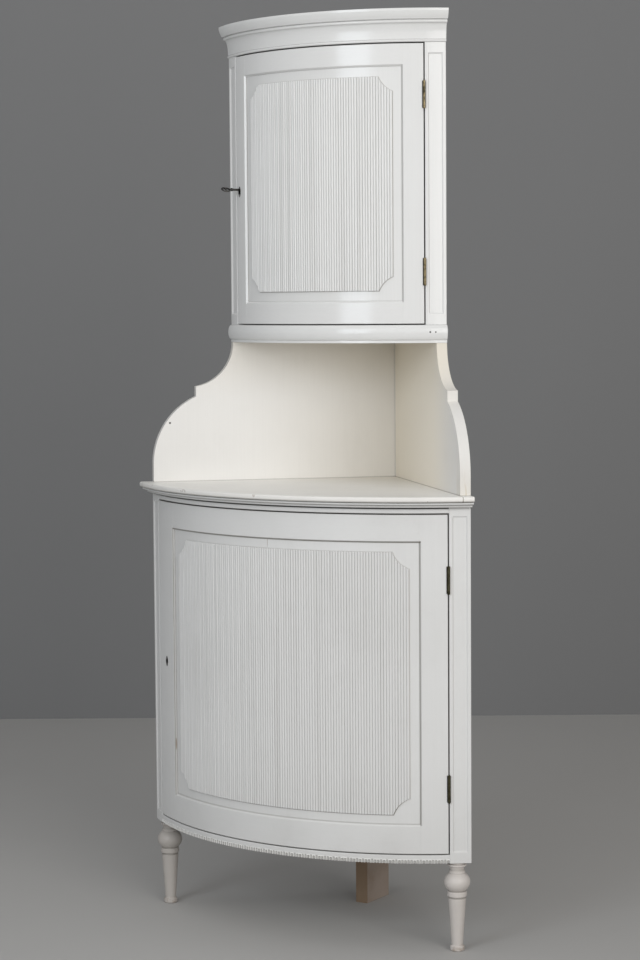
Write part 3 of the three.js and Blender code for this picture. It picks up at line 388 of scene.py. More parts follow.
def trim_at_walls(bm):
    """Cut a piece off at both walls."""
    for _, side in SIDES:
        trim(bm, (0, WALL_CORNER_Y, 0), wall_normal(side))


def tidy(bm):
    """Merge doubles and join coplanar faces."""
    bmesh.ops.remove_doubles(bm, verts=bm.verts, dist=MERGE)
    bmesh.ops.dissolve_limit(bm, angle_limit=FLAT_ANGLE, verts=bm.verts, edges=bm.edges)


def sharp_edges(bm, pick):
    found = []
    for edge in bm.edges:
        sharp = len(edge.link_faces) == 2 and edge.calc_face_angle() > CREASE
        if sharp and (pick is None or pick(edge)):
            found.append(edge)
    return found


def soften(bm, width, segments, pick=None):
    """Round the sharp edges that pick chooses."""
    edges = sharp_edges(bm, pick)
    if edges:
        bmesh.ops.bevel(bm, geom=edges, offset=width, segments=segments, profile=0.5,
                        affect="EDGES", clamp_overlap=True, material=-1)


def at_front(edge):
    """Whether an edge of a flat piece lies on its face."""
    return all(abs(vert.co.y) < MERGE for vert in edge.verts)


def loose_object(bm, name):
    """Object of its own for a mesh that is still being worked on."""
    mesh = bpy.data.meshes.new(name)
    bm.to_mesh(mesh)
    piece = bpy.data.objects.new(name, mesh)
    bpy.context.scene.collection.objects.link(piece)
    return piece


def carve(bm, cutters):
    """Cut closed meshes out of a closed mesh."""
    blank = loose_object(bm, "blank")
    tools = [loose_object(cutter, "cutter") for cutter in cutters]
    for tool in tools:
        modifier = blank.modifiers.new("cut", "BOOLEAN")
        modifier.operation = "DIFFERENCE"
        modifier.solver = "EXACT"
        modifier.object = tool
    bm.clear()
    bm.from_object(blank, bpy.context.evaluated_depsgraph_get())
    for used in [blank, *tools]:
        mesh = used.data
        bpy.data.objects.remove(used)
        bpy.data.meshes.remove(mesh)
    for cutter in cutters:
        cutter.free()
    bmesh.ops.remove_doubles(bm, verts=bm.verts, dist=MERGE)


def wobble(index):
    """Uneven number between minus one and one that stays the same for an index."""
    return math.sin(index * WOBBLE_TURN + math.sin(index * WOBBLE_TURN / 3))


def lathe(bm, geometry, steps):
    """Turn a drawn line once round the upright axis."""
    bmesh.ops.spin(bm, geom=geometry, cent=(0, 0, 0), axis=(0, 0, 1), angle=2 * math.pi,
                   steps=steps, use_merge=True)


def relief(bm, columns, rows, place, back):
    """Closed solid on a grid: place gives the front of each column and row, and the back is flat."""
    bmesh.ops.create_grid(bm, x_segments=columns, y_segments=rows, size=0.5)
    drawn = bmesh.ops.extrude_face_region(bm, geom=bm.faces[:])["geom"]
    raised = {item for item in drawn if isinstance(item, bmesh.types.BMVert)}
    for vert in bm.verts:
        column = round((vert.co.x + 0.5) * columns)
        row = round((vert.co.y + 0.5) * rows)
        across, out, height = place(column, row)
        vert.co = Vector((across, -out if vert in raised else -back, height))


def finish_piece(bm, name, body, finish, replaced=()):
    """Make the object of a finished mesh, and give it its body and material."""
    bmesh.ops.remove_doubles(bm, verts=bm.verts, dist=MERGE)
    bmesh.ops.recalc_face_normals(bm, faces=bm.faces)
    for face in bm.faces:
        face.smooth = True
    loose = 0
    for edge in bm.edges:
        closed = len(edge.link_faces) == 2
        loose += not closed
        edge.smooth = closed and edge.calc_face_angle() < CREASE
    if loose:
        print(f"open edges on {name}: {loose}")
    piece = loose_object(bm, name)
    bm.free()
    piece.data.materials.append(bpy.data.materials[finish])
    weighted = piece.modifiers.new("weighted normals", "WEIGHTED_NORMAL")
    weighted.keep_sharp = True
    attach(piece, body)
    if replaced:
        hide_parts(*replaced)
    return piece


def dress_node(node, finish, width):
    """Give a CAD node its finish and rounded edges."""
    piece = frame["nodes"][node]
    piece.material_slots[0].material = bpy.data.materials[finish]
    weld = piece.modifiers.new("weld", "WELD")
    weld.merge_threshold = MERGE
    flat = piece.modifiers.new("flat faces", "DECIMATE")
    flat.decimate_type = "DISSOLVE"
    flat.angle_limit = NODE_FLAT_ANGLE
    rounding = piece.modifiers.new("arris", "BEVEL")
    rounding.width = width
    rounding.segments = 2
    rounding.limit_method = "ANGLE"
    rounding.angle_limit = CREASE
    rounding.harden_normals = True


# Shader helpers


class Wire:
    """A shader value on which Python's operators add Math nodes."""

    def __init__(self, shader, socket):
        self.shader = shader
        self.socket = socket

    def __add__(self, other):
        return self.shader.math("ADD", self, other)

    def __radd__(self, other):
        return self.shader.math("ADD", other, self)

    def __sub__(self, other):
        return self.shader.math("SUBTRACT", self, other)

    def __rsub__(self, other):
        return self.shader.math("SUBTRACT", other, self)

    def __mul__(self, other):
        return self.shader.math("MULTIPLY", self, other)

    def __rmul__(self, other):
        return self.shader.math("MULTIPLY", other, self)

    def __pow__(self, other):
        return self.shader.math("POWER", self, other)

    def step(self, low, high):
        """Smooth step from nought at low to one at high."""
        settings = {"interpolation_type": "SMOOTHSTEP"}
        inputs = {"Value": self, "From Min": low, "From Max": high}
        return self.shader.node("ShaderNodeMapRange", settings, inputs)


class Shader:
    """The nodes of one material."""

    def __init__(self, name):
        self.material = bpy.data.materials.new(name)
        self.material.use_nodes = True
        self.tree = self.material.node_tree
        self.tree.nodes.clear()
        self.point = self.node("ShaderNodeTexCoord", output="Object")

    def node(self, kind, settings=None, inputs=None, output=0):
        """Add a node: its settings first, then the values or links of its sockets."""
        made = self.tree.nodes.new(kind)
        for name, value in (settings or {}).items():
            setattr(made, name, value)
        for key, value in (inputs or {}).items():
            if isinstance(value, Wire):
                self.tree.links.new(value.socket, made.inputs[key])
            else:
                made.inputs[key].default_value = value
        return Wire(self, made.outputs[output])

    def math(self, operation, *values):
        return self.node("ShaderNodeMath", {"operation": operation}, dict(enumerate(values)))

    def axes(self):
        """The x, y and z of the point being shaded."""
        made = self.node("ShaderNodeSeparateXYZ", inputs={0: self.point})
        return [Wire(self, socket) for socket in made.socket.node.outputs]

    def noise(self, scale, detail, stretch=(1, 1, 1), roughness=0.55):
        """Noise with a scale per metre, drawn out by stretch."""
        spread = self.node("ShaderNodeMapping", inputs={"Vector": self.point, "Scale": stretch})
        inputs = {"Vector": spread, "Scale": scale, "Detail": detail, "Roughness": roughness}
        return self.node("ShaderNodeTexNoise", inputs=inputs)

    def mix(self, factor, first, second):
        """Mix two colours."""
        settings = {"data_type": "RGBA", "blend_type": "MIX"}
        inputs = {0: factor, 6: self.rgb(first), 7: self.rgb(second)}
        return self.node("ShaderNodeMix", settings, inputs, output=2)

    @staticmethod
    def rgb(value):
        return value if isinstance(value, Wire) else (*value, 1.0)

    def bump(self, height, distance):
        inputs = {"Height": height, "Distance": distance, "Strength": BUMP_SHARE}
        return self.node("ShaderNodeBump", inputs=inputs)

    def surface(self, **sockets):
        """Close the material with a Principled shader."""
        inputs = {name.replace("_", " "): value for name, value in sockets.items()}
        done = self.node("ShaderNodeBsdfPrincipled", inputs=inputs)
        output = self.tree.nodes.new("ShaderNodeOutputMaterial")
        self.tree.links.new(done.socket, output.inputs["Surface"])


UPRIGHT_GRAIN = (240.0, 240.0, 5.0)
LEVEL_GRAIN = (9.0, 240.0, 240.0)
REED_GRAIN = (150.0, 150.0, 0.9)
RESIN_GRAIN = (150.0, 150.0, 12.0)
SCRATCH_GRAIN = (1, 1, 0.1)
FADE = 0.0004
BUMP_SHARE = 0.4
FLOOR_DARKENING = {"top": 0.45, "foot": 0.20, "strength": 0.09}
BRUSHED = {
    "cloud_noise": (3.1, 4.0),
    "cloud_range": (0.42, 0.75),
    "smear_noise": (11.0, 5.0),
    "smear_range": (0.5, 0.8),
    "smear_roughness": 0.65,
    "stroke_noise": (1.0, 3.0),
    "stroke_range": (0.35, 0.75),
    "fine_noise": (260.0, 2.0),
    "relief": 0.0004,
}
SOILED_SHARES = {"cloud": 0.6, "smear": 0.4, "strokes": 0.02}
GLOSS_SHARES = {"smear": 0.08, "strokes": 0.05, "worn": 0.3}
RELIEF_SHARES = {"strokes": 0.3, "fine": 0.1, "cloud": 0.6, "worn": 1.5}
HANDLED = {
    "patch_noise": (90.0, 5.0),
    "patch_range": (0.42, 0.62),
    "patch_roughness": 0.7,
    "scratch_noise": (900.0, 2.0),
    "relief": 0.0002,
}
PATCH_SHARES = {"tone": 0.8, "gloss": 0.25, "relief": 0.5}
SCRATCH_SHARES = {"gloss": 0.1, "relief": 0.5}


def paint(name, tint, grime_and_shade, roughness, grain, soil, tone_marks=None, wear=None, bare=None):
    """Brushed oil paint on wood, darker towards the floor, with mottling and brush marks, and the given tone
    marks laid over it.
    """
    shader = Shader(name)
    height = shader.axes()[2]
    cloud = shader.noise(*BRUSHED["cloud_noise"])
    smear = shader.noise(*BRUSHED["smear_noise"], roughness=BRUSHED["smear_roughness"])
    strokes = shader.noise(*BRUSHED["stroke_noise"], stretch=grain)
    fine = shader.noise(*BRUSHED["fine_noise"])
    clouded = cloud.step(*BRUSHED["cloud_range"]) * SOILED_SHARES["cloud"]
    smeared = smear.step(*BRUSHED["smear_range"]) * SOILED_SHARES["smear"]
    soiled = (clouded + smeared) * soil
    # Darker towards the floor.
    near_floor = 1.0 - height.step(FLOOR_DARKENING["foot"], FLOOR_DARKENING["top"])
    soiled = soiled + near_floor * FLOOR_DARKENING["strength"]
    tone = shader.mix(soiled, tint, grime_and_shade)
    brushed = strokes.step(*BRUSHED["stroke_range"]) * SOILED_SHARES["strokes"]
    tone = shader.mix(brushed, tone, grime_and_shade)
    # Tone marks laid over the paint: painted shade, shadow and highlight, and real soiling, stains, wear and
    # marks.
    if tone_marks is not None:
        for strength, shade in tone_marks(shader):
            tone = shader.mix(strength, tone, shade)
    rough = roughness + GLOSS_SHARES["smear"] * (smear - 0.5)
    rough = rough + GLOSS_SHARES["strokes"] * (strokes - 0.5)
    raised = strokes * RELIEF_SHARES["strokes"] + fine * RELIEF_SHARES["fine"]
    raised = raised + cloud * RELIEF_SHARES["cloud"]
    if wear is not None:
        gone = wear(shader)
        tone = shader.mix(gone, tone, bare)
        rough = rough + gone * GLOSS_SHARES["worn"]
        raised = raised - gone * RELIEF_SHARES["worn"]
    normal = shader.bump(raised, BRUSHED["relief"])
    shader.surface(Base_Color=tone, Roughness=rough, Normal=normal)


def metal(name, tint, dark, roughness):
    """Handled metal with dark patches and fine scratches."""
    shader = Shader(name)
    patches = shader.noise(*HANDLED["patch_noise"], roughness=HANDLED["patch_roughness"])
    patches = patches.step(*HANDLED["patch_range"])
    scratches = shader.noise(*HANDLED["scratch_noise"], stretch=SCRATCH_GRAIN)
    tone = shader.mix(patches * PATCH_SHARES["tone"], tint, dark)
    rough = roughness + patches * PATCH_SHARES["gloss"] + scratches * SCRATCH_SHARES["gloss"]
    raised = patches * PATCH_SHARES["relief"] + scratches * SCRATCH_SHARES["relief"]
    normal = shader.bump(raised, HANDLED["relief"])
    shader.surface(Base_Color=tone, Metallic=1.0, Roughness=rough, Normal=normal)


def on_bow(bow, shader):
    """Arc from the middle, distance out from the bow, and height of the point being shaded."""
    x, y, z = shader.axes()
    ahead = bow.centre_y - y
    out = (x * x + ahead * ahead) ** 0.5 - bow.radius
    return shader.math("ARCTAN2", x, ahead) * bow.radius, out, z


def beyond(value, limit):
    """One where a value is past a limit."""
    return value.step(limit - FADE, limit + FADE)


def between(value, low, high):
    """One where a value lies between two limits, with a soft edge."""
    return beyond(value, low) * (1.0 - beyond(value, high))


FLECK_RANGE = (0.5, 1.3)


def fleck(across, height, mark):
    """One inside a small oval mark: (across, height, half width, half height)."""
    away = (across - mark[0]) * (1 / mark[2])
    above = (height - mark[1]) * (1 / mark[3])
    return 1.0 - (away * away + above * above).step(*FLECK_RANGE)


NAIL_HOLES = ((0.2847, 1.3779, 0.0021, 0.0021), (0.2971, 1.3778, 0.0019, 0.0019))
FIELD_CRACK = (0.0008, 0.912, 0.0005, 0.013)
STILE_CRACK = (-0.3322, 0.409, 0.0009, 0.015)
KEYHOLE_SPREAD = 0.0012
# Painted shade and shadow lines round each door's opening: shares on the chamfers by how each faces the
# light, on the panel's edges, along the lower door's left arris, in the chamfer's root, and round the field.
CHAMFER_SHARES = {"upper": (0.05, 0.30, 0.0), "lower": (0.10, 0.45, 0.70)}
LINE_SHARES = {"upper": (0.80, 0.25, 0.05, 0.20), "lower": (0.35, 0.40, 0.15, 0.35)}
LIP_SHARES = {"upper": 0.0, "lower": 0.70}
ROOT_SHARES = {"upper": 0.12, "lower": 0.35}
OUTLINE_SHARES = {"upper": (0.35, 0.30), "lower": (0.30, 1.10)}
GAP_EDGE = 0.003
# Painted shade on the walls of the gaps round the doors.
GAP_SHARE = 0.6
DEEP_SHARE = 0.95
CRACK_SHARE = 0.8
LIP_DEPTH = 0.002
OUTLINE_WIDTH = 0.0013
REED_STREAK_RANGE = (0.5, 0.75)
REED_SHADE_AND_DIRT_SHARES = {"rise": 0.6, "even": 0.15, "streak": 0.85, "left": 0.4, "gain": 0.6, "flat": 0.15}
RING_SHARE = 0.4
MOULDING_SHARES = {"bead": 0.8, "ends": 0.8, "gouges": 0.35, "ridges": 0.85, "quirk": 0.9}
COUNTER_SHADE_AND_DIRT_SHARES = {"corner": 0.38, "walls": 0.6, "nose": 0.5}


def near(value):
    """One where a distance is nearly nought."""
    return 1.0 - value.step(FADE, 6 * FADE)


def frame_shade_and_cracks(plan, sizes, looks, marks, shader):
    """Painted shade on the chamfers that face away from the light, painted shadow lines in the chamfer's
    root and along the lower door's left arris, painted shade on the gap walls, the painted shadow of the
    gaps' depths and of the keyhole, and small marks.
    """
    arc, out, height = on_bow(plan.bow, shader)
    left, right, top = CHAMFER_SHARES[plan.prefix]
    on_left = 1.0 - beyond(arc, -plan.open_left)
    on_right = beyond(arc, plan.open_right)
    on_top = beyond(height, plan.open_high)
    at_face = beyond(out, -sizes.panel_sink)
    behind = (1.0 - out.step(-3 * FADE, -FADE)) * at_face
    root = (1.0 - out.step(-sizes.chamfer, -sizes.chamfer / 2)) * at_face
    lip = between(out, -LIP_DEPTH, -FADE) * on_left * LIP_SHARES[plan.prefix]
    rim_arc = shader.math("ABSOLUTE", arc) - (plan.door_arc - GAP_EDGE)
    from_middle = shader.math("ABSOLUTE", height - (plan.low + plan.high) / 2)
    rim_height = from_middle - (plan.high - plan.low) / 2
    rim = beyond(shader.math("MAXIMUM", rim_arc, rim_height + GAP_EDGE), 0.0)
    inside = 1.0 - out.step(-GAP_EDGE, -GAP_EDGE / 2)
    deep = between(out, 2 * FADE - sizes.door_thickness, -sizes.panel_sink - FADE) * (1.0 - rim)
    middle = key_height(plan) + sizes.keyhole_head - sizes.keyhole_height / 2
    half_width = sizes.keyhole_head + KEYHOLE_SPREAD
    hole = (plan.key_arc, middle, half_width, sizes.keyhole_height / 2 + KEYHOLE_SPREAD)
    # Painted shade on the chamfers facing away from the light, with painted shadow lines in the root and
    # along the left arris.
    sides = behind * (on_left * left + on_right * right + on_top * top)
    found = [
        (sides + root * ROOT_SHARES[plan.prefix] + lip, looks.grime_and_shade),
        # Painted shade on the gap walls.
        (inside * rim * GAP_SHARE, looks.grime_and_shade),
        (deep * DEEP_SHARE, looks.shadow),
        (fleck(arc, height, hole), looks.shadow),
    ]
    return found + [(fleck(arc, height, mark) * CRACK_SHARE, looks.bare_wood_and_shade) for mark in marks]


def outside_field(plan, sizes, arc, height, shader):
    """Distance from the outline of a door's field, with its hollow corners; less than nought inside."""
    left = plan.open_left - plan.side_margin
    right = plan.open_right - plan.side_margin
    low = plan.open_low + plan.end_margin
    high = plan.open_high - plan.end_margin
    across = shader.math("ABSOLUTE", arc - (right - left) / 2) - (right + left) / 2
    along = shader.math("ABSOLUTE", height - (low + high) / 2) - (high - low) / 2
    corner = sizes.hollow_radius - ((across - plan.beyond) ** 2 + (along - plan.beyond) ** 2) ** 0.5
    return shader.math("MAXIMUM", shader.math("MAXIMUM", across, along), corner)


def panel_shade_and_dirt(plan, sizes, looks, marks, shader):
    """Painted shade, with some soiling, in the valleys between reeds, painted shadow lines round the field
    and where the panel meets its frame, streaky soiling on the reeds, and small marks.
    """
    arc, out, height = on_bow(plan.bow, shader)
    valley = sizes.field_rise - sizes.panel_sink
    ground = valley - sizes.field_rise / 2
    left, right, top, foot = LINE_SHARES[plan.prefix]
    streak = shader.noise(1.0, 2.0, stretch=REED_GRAIN)
    share = REED_SHADE_AND_DIRT_SHARES
    # Painted shade, with some soiling, in the valleys between the reeds, weaker towards the left.
    held_top = valley + sizes.reed_height * share["rise"]
    held = out.step(ground, valley) * (1.0 - out.step(valley, held_top))
    fading = arc.step(-plan.open_left, -plan.open_left / 4) * share["gain"] + share["left"]
    outline = outside_field(plan, sizes, arc, height, shader)
    share_all, share_foot = OUTLINE_SHARES[plan.prefix]
    field_low = plan.open_low + plan.end_margin
    under = 1.0 - height.step(field_low, field_low + plan.corner)
    on_front = beyond(out, -sizes.panel_sink - 2 * FADE)
    # Painted shadow line round the field, stronger under it.
    ring = between(outline, -FADE, OUTLINE_WIDTH) * (1.0 - out.step(ground, valley))
    ring = ring * (streak + RING_SHARE)
    # Painted shadow lines where the panel meets its frame.
    lines = (
        near(arc + plan.open_left) * left
        + near(plan.open_right - arc) * right
        + near(plan.open_high - height) * top
        + near(height - plan.open_low) * foot
    )
    reeds = out.step(ground, valley) * streak.step(*REED_STREAK_RANGE) * share["flat"]
    found = [
        (held * fading * (share["even"] + share["streak"] * streak), looks.grime_and_shade),
        (reeds, looks.grime_and_shade),
        (on_front * (ring * (under * share_foot + share_all) + lines), looks.grime_and_shade),
    ]
    return found + [(fleck(arc, height, mark) * CRACK_SHARE, looks.bare_wood_and_shade) for mark in marks]


def upper_case_shade(plan, looks, shader):
    """Painted shade in the gaps over and under the upper door, and two nail holes in the base moulding."""
    arc, out, height = on_bow(plan.bow, shader)
    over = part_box("cornice")[0].z
    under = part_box("upper_base_moulding")[1].z
    inside = 1.0 - out.step(-GAP_EDGE, -GAP_EDGE / 2)
    level = between(height, over - 3 * FADE, over) + between(height, under, under + 3 * FADE)
    return [(inside * level * GAP_SHARE, looks.grime_and_shade)] + [
        (fleck(arc, height, mark), looks.shadow) for mark in NAIL_HOLES]


def counter_lines(looks, bow, sizes, shader):
    """Painted shadow in the quirk, painted shadow lines under the moulding's bead and at its edges, painted
    shade between the gouges and painted highlight on their ridges.
    """
    _, out, height = on_bow(bow, shader)
    low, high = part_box("counter_moulding")
    bead_low = high.z - COUNTER["bead_height"]
    quirk = between(height, low.z - sizes.quirk_height, low.z) * (1.0 - out.step(-3 * FADE, -FADE))
    under_bead = between(height, bead_low - 3 * FADE, bead_low + FADE)
    top_end = between(height, high.z - 2 * FADE, high.z + FADE)
    ends = top_end + between(height, low.z - FADE, low.z + 2 * FADE)
    rail_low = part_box("lower_bottom_rail")[0].z
    at_gouges = 1.0 - beyond(height, rail_low + sizes.gouge_height)
    ridge = out.step(-sizes.gouge_depth / 3, -FADE)
    share = MOULDING_SHARES
    # Painted shadow lines under the bead and at the moulding's edges, painted shade between the gouges,
    # painted highlight on their ridges, painted shadow in the quirk.
    edges = under_bead * share["bead"] + ends * share["ends"]
    return [
        (edges + at_gouges * (1.0 - ridge) * share["gouges"], looks.grime_and_shade),
        (at_gouges * ridge * share["ridges"], looks.scuff_and_highlight),
        (quirk * share["quirk"], looks.shadow),
    ]


def counter_shade_and_dirt(looks, sizes, shader):
    """Painted shade under the counter's nose, dirty joints along the walls, and painted warm shade towards
    the corner.
    """
    x, y, z = shader.axes()
    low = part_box("counter_board")[0].z
    from_board = (WALL_CORNER_Y - y - shader.math("ABSOLUTE", x)) * math.sqrt(0.5) - sizes.board
    corner = y.step(WALL_CORNER_Y - NICHE["corner_reach"], WALL_CORNER_Y)
    under = 1.0 - z.step(low, low + sizes.nose_round)
    share = COUNTER_SHADE_AND_DIRT_SHARES
    # Painted warm shade towards the corner, dirty joints along the walls and painted shade under the nose.
    return [
        (corner * share["corner"], looks.niche_stain_and_shade),
        (between(from_board, -FADE, 5 * FADE) * share["walls"] + under * share["nose"], looks.grime_and_shade),
    ]


NICHE = {
    "corner_reach": 0.34,
    "head_reach": 0.15,
    "bleed_foot": 0.395,
    "bleed_top": 1.115,
    "bleed_fade": 0.01,
    "warm_fade": 0.16,
    "resin_noise": (1.0, 3.0),
    "resin_range": (0.52, 0.62),
    "wing_hole": (-0.3911, 1.1619, 0.0018, 0.0024),
}
NICHE_SHARES = {
    "warm": 0.8,
    "corner": 0.30,
    "head": 0.26,
    "resin": 0.4,
    "bleed": 0.2,
    "foot": 0.5,
    "seam": 0.2,
}


def niche_light_shade_and_stains(looks, shader):
    """Painted warm bounce light on the right board, painted warm shade towards the corner and head of the
    niche, resin on the right wing's edge, dark joints, and a hole in the wing.
    """
    x, y, z = shader.axes()
    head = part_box("upper_base_moulding")[0].z
    below_head = 1.0 - beyond(z, head)
    corner = y.step(WALL_CORNER_Y - NICHE["corner_reach"], WALL_CORNER_Y) * below_head
    under = z.step(head - NICHE["head_reach"], head) * below_head
    resin = shader.noise(*NICHE["resin_noise"], stretch=RESIN_GRAIN).step(*NICHE["resin_range"])
    counter_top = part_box("counter_board")[1].z
    foot = 1.0 - z.step(counter_top + FADE, counter_top + 5 * FADE)
    seam = near(shader.math("ABSOLUTE", x)) * below_head
    bleed = NICHE["bleed_foot"]
    fade = NICHE["bleed_fade"]
    bled = x.step(bleed, bleed + fade) * (1.0 - z.step(counter_top, NICHE["bleed_top"]))
    right = x.step(FADE, fade) * (1.0 - x.step(bleed - NICHE["warm_fade"], bleed)) * below_head
    share = NICHE_SHARES
    return [
        # Painted warm bounce light on the right board; painted warm shade towards the corner and under the
        # head.
        (right * share["warm"], looks.niche_bounce_light),
        (corner * share["corner"] + under * share["head"], looks.niche_stain_and_shade),
        (bled * (resin * share["resin"] + share["bleed"]), looks.niche_stain_and_shade),
        (foot * share["foot"] + seam * share["seam"], looks.grime_and_shade),
        (fleck(x, z, NICHE["wing_hole"]), looks.shadow),
    ]


LEG_DIRT = {"rub_noise": (70.0, 5.0), "rub_range": (0.45, 0.62), "rub_height": (0.004, 0.020)}
LEG_SHADE_AND_WEAR_SHARES = {"left": 0.42, "grooves": 0.5, "throat": 0.3, "rubbed": 0.55}
PLANK_SHARE = 0.85


def leg_shade_and_wear(looks, shader):
    """A darker left leg, painted shade in the grooves of a leg and in a band near the top of its ball, and
    wear rubbed round its foot.
    """
    x, _, z = shader.axes()
    size = LEG
    collar_low = size["taper_height"] + size["groove_height"]
    collar_top = collar_low + size["collar_height"]
    above_ball = size["cup_rise"] + size["cup_lip"] + size["throat_height"]
    ball_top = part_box("front_leg_left")[1].z - above_ball
    grooves = between(z, size["taper_height"] - FADE, collar_low + FADE) + between(
        z, collar_top - FADE, collar_top + size["neck_gap"] + 2 * FADE)
    rubbed = shader.noise(*LEG_DIRT["rub_noise"]).step(*LEG_DIRT["rub_range"])
    rubbed = rubbed * (1.0 - z.step(*LEG_DIRT["rub_height"]))
    throat = between(z, ball_top - size["ring_height"], ball_top + FADE)
    left = 1.0 - x.step(-FADE, FADE)
    share = LEG_SHADE_AND_WEAR_SHARES
    return [
        # The whole left leg is darker.
        (left * share["left"], looks.grime_and_shade),
        # Painted shade in the grooves and in a band near the top of the ball.
        (grooves * share["grooves"] + throat * share["throat"], looks.grime_and_shade),
        (rubbed * share["rubbed"], looks.bare_wood_and_shade),
    ]


def plank_shade(looks, shader):
    """Painted shade on the front face of the rear leg's plank."""
    _, y, _ = shader.axes()
    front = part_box("back_leg")[0].y
    return [((1.0 - beyond(y, front + 3 * FADE)) * PLANK_SHARE, looks.bare_wood_and_shade)]


NOSE_CHIPS = {"noise": (42.0, 4.0), "range": (0.64, 0.68)}
NOSE_SHARES = {"chips": 0.35, "tone_marks": 0.10}


def nose_chips(bow, sizes, shader):
    """Chips along the nose of the counter."""
    _, out, _ = on_bow(bow, shader)
    edge = out.step(sizes.nose_out - sizes.nose_round, sizes.nose_out)
    chips = shader.noise(*NOSE_CHIPS["noise"]).step(*NOSE_CHIPS["range"])
    return edge * (chips * NOSE_SHARES["chips"] + NOSE_SHARES["tone_marks"])


SOIL_SHARES = {"upper": 0.06, "lower": 0.13, "niche": 0.1, "leg": 0.3, "old wood": 0.9}
ROUGHNESS = {
    "niche": 0.5,
    "leg": 0.42,
    "old wood": 0.6,
    "brass": 0.36,
    "dull brass": 0.45,
    "iron": 0.55,
    "steel": 0.34,
    "key steel": 0.30,
}


class MakeFinishes(bpy.types.Operator):
    """Make the paints and metals"""

    bl_idname = "cupboard.finishes"
    bl_label = "Finishes"

    def execute(self, context):
        sizes = context.scene.cupboard_sizes
        looks = context.scene.cupboard_finish
        lower, upper = door_plans(sizes)
        upper_case = partial(upper_case_shade, upper, looks)
        lower_case = partial(counter_lines, looks, lower.bow, sizes)
        for plan, tint, gloss, case_light_and_shade, stile_marks, field_marks in (
            (upper, looks.upper_paint, looks.upper_gloss, upper_case, (), ()),
            (lower, looks.lower_paint, looks.lower_gloss, lower_case, (STILE_CRACK,), (FIELD_CRACK,)),
        ):
            stile = partial(frame_shade_and_cracks, plan, sizes, looks, stile_marks)
            field = partial(panel_shade_and_dirt, plan, sizes, looks, field_marks)
            for word, grain, tone_marks in (
                ("upright", UPRIGHT_GRAIN, None),
                ("level", LEVEL_GRAIN, case_light_and_shade),
                ("stile", UPRIGHT_GRAIN, stile),
                ("rail", LEVEL_GRAIN, stile),
                ("reeds", UPRIGHT_GRAIN, field),
            ):
                name = f"{plan.prefix} {word}"
                paint(name, tint, looks.grime_and_shade, gloss, grain, SOIL_SHARES[plan.prefix],
                      tone_marks=tone_marks)
        paint("counter", looks.counter_paint_and_light, looks.grime_and_shade, looks.lower_gloss,
              LEVEL_GRAIN, SOIL_SHARES["lower"], tone_marks=partial(counter_shade_and_dirt, looks, sizes),
              wear=partial(nose_chips, lower.bow, sizes), bare=looks.bare_wood_and_shade)
        for name, slot, tint, grime_and_shade, tone_marks in (
            ("niche", "niche_paint", looks.niche_paint, looks.grime_and_shade, niche_light_shade_and_stains),
            ("leg", "leg_paint", looks.leg_paint, looks.grime_and_shade, leg_shade_and_wear),
            ("old wood", "leg_paint", looks.old_wood, looks.bare_wood_and_shade, plank_shade),
        ):
            paint(name, tint, grime_and_shade, ROUGHNESS[name], UPRIGHT_GRAIN, SOIL_SHARES[name],
                  tone_marks=partial(tone_marks, looks))
        for name, slot, tint, dark in (
            ("brass", "aged_brass", looks.brass, looks.tarnish),
            ("dull brass", "aged_brass", looks.dull_brass, looks.tarnish),
            ("iron", "dark_iron", looks.iron, looks.bare_wood_and_shade),
            ("steel", "key_steel", looks.steel, looks.iron),
            ("key steel", "key_steel", looks.key_steel, looks.shadow),
        ):
            metal(name, tint, dark, ROUGHNESS[name])
        return {"FINISHED"}


def opening_cutter(plan, sizes):
    """Cutter of a door's opening, with its mitred chamfer."""
    grow = sizes.chamfer + OVERRUN
    low = (-plan.open_left, -OVERRUN, plan.open_low)
    high = (plan.open_right, sizes.chamfer, plan.open_high)
    return tapered_cutter(low, high, grow)


def groove_cutter(plan, sizes):
    """Cutter of the grooves that hold a panel."""
    reach = sizes.groove
    low = (-plan.open_left - reach, sizes.panel_sink, plan.open_low - reach)
    back = sizes.panel_sink + sizes.panel_thickness
    high = (plan.open_right + reach, back, plan.open_high + reach)
    return block_mesh(low, high)


KEYHOLE_SIDES = 40


def keyhole_cutters(plan, sizes):
    """Cutters of a worn keyhole: a round head, a waist and a round foot."""
    height = key_height(plan)
    drop = sizes.keyhole_height - sizes.keyhole_head - sizes.keyhole_foot
    made = []
    for radius, level in ((sizes.keyhole_head, height), (sizes.keyhole_foot, height - drop)):
        bm = bmesh.new()
        rod(bm, radius, -OVERRUN, sizes.door_thickness + OVERRUN, KEYHOLE_SIDES)
        bmesh.ops.translate(bm, verts=bm.verts, vec=(plan.key_arc, 0, level))
        made.append(bm)
    half = sizes.keyhole_waist / 2
    low = (plan.key_arc - half, -OVERRUN, height - drop)
    high = (plan.key_arc + half, sizes.door_thickness + OVERRUN, height)
    return [*made, block_mesh(low, high)]


def key_height(plan):
    """Height of a lock's key: the lock case is centred on it."""
    return middle_height(f"{plan.prefix}_lock_case")


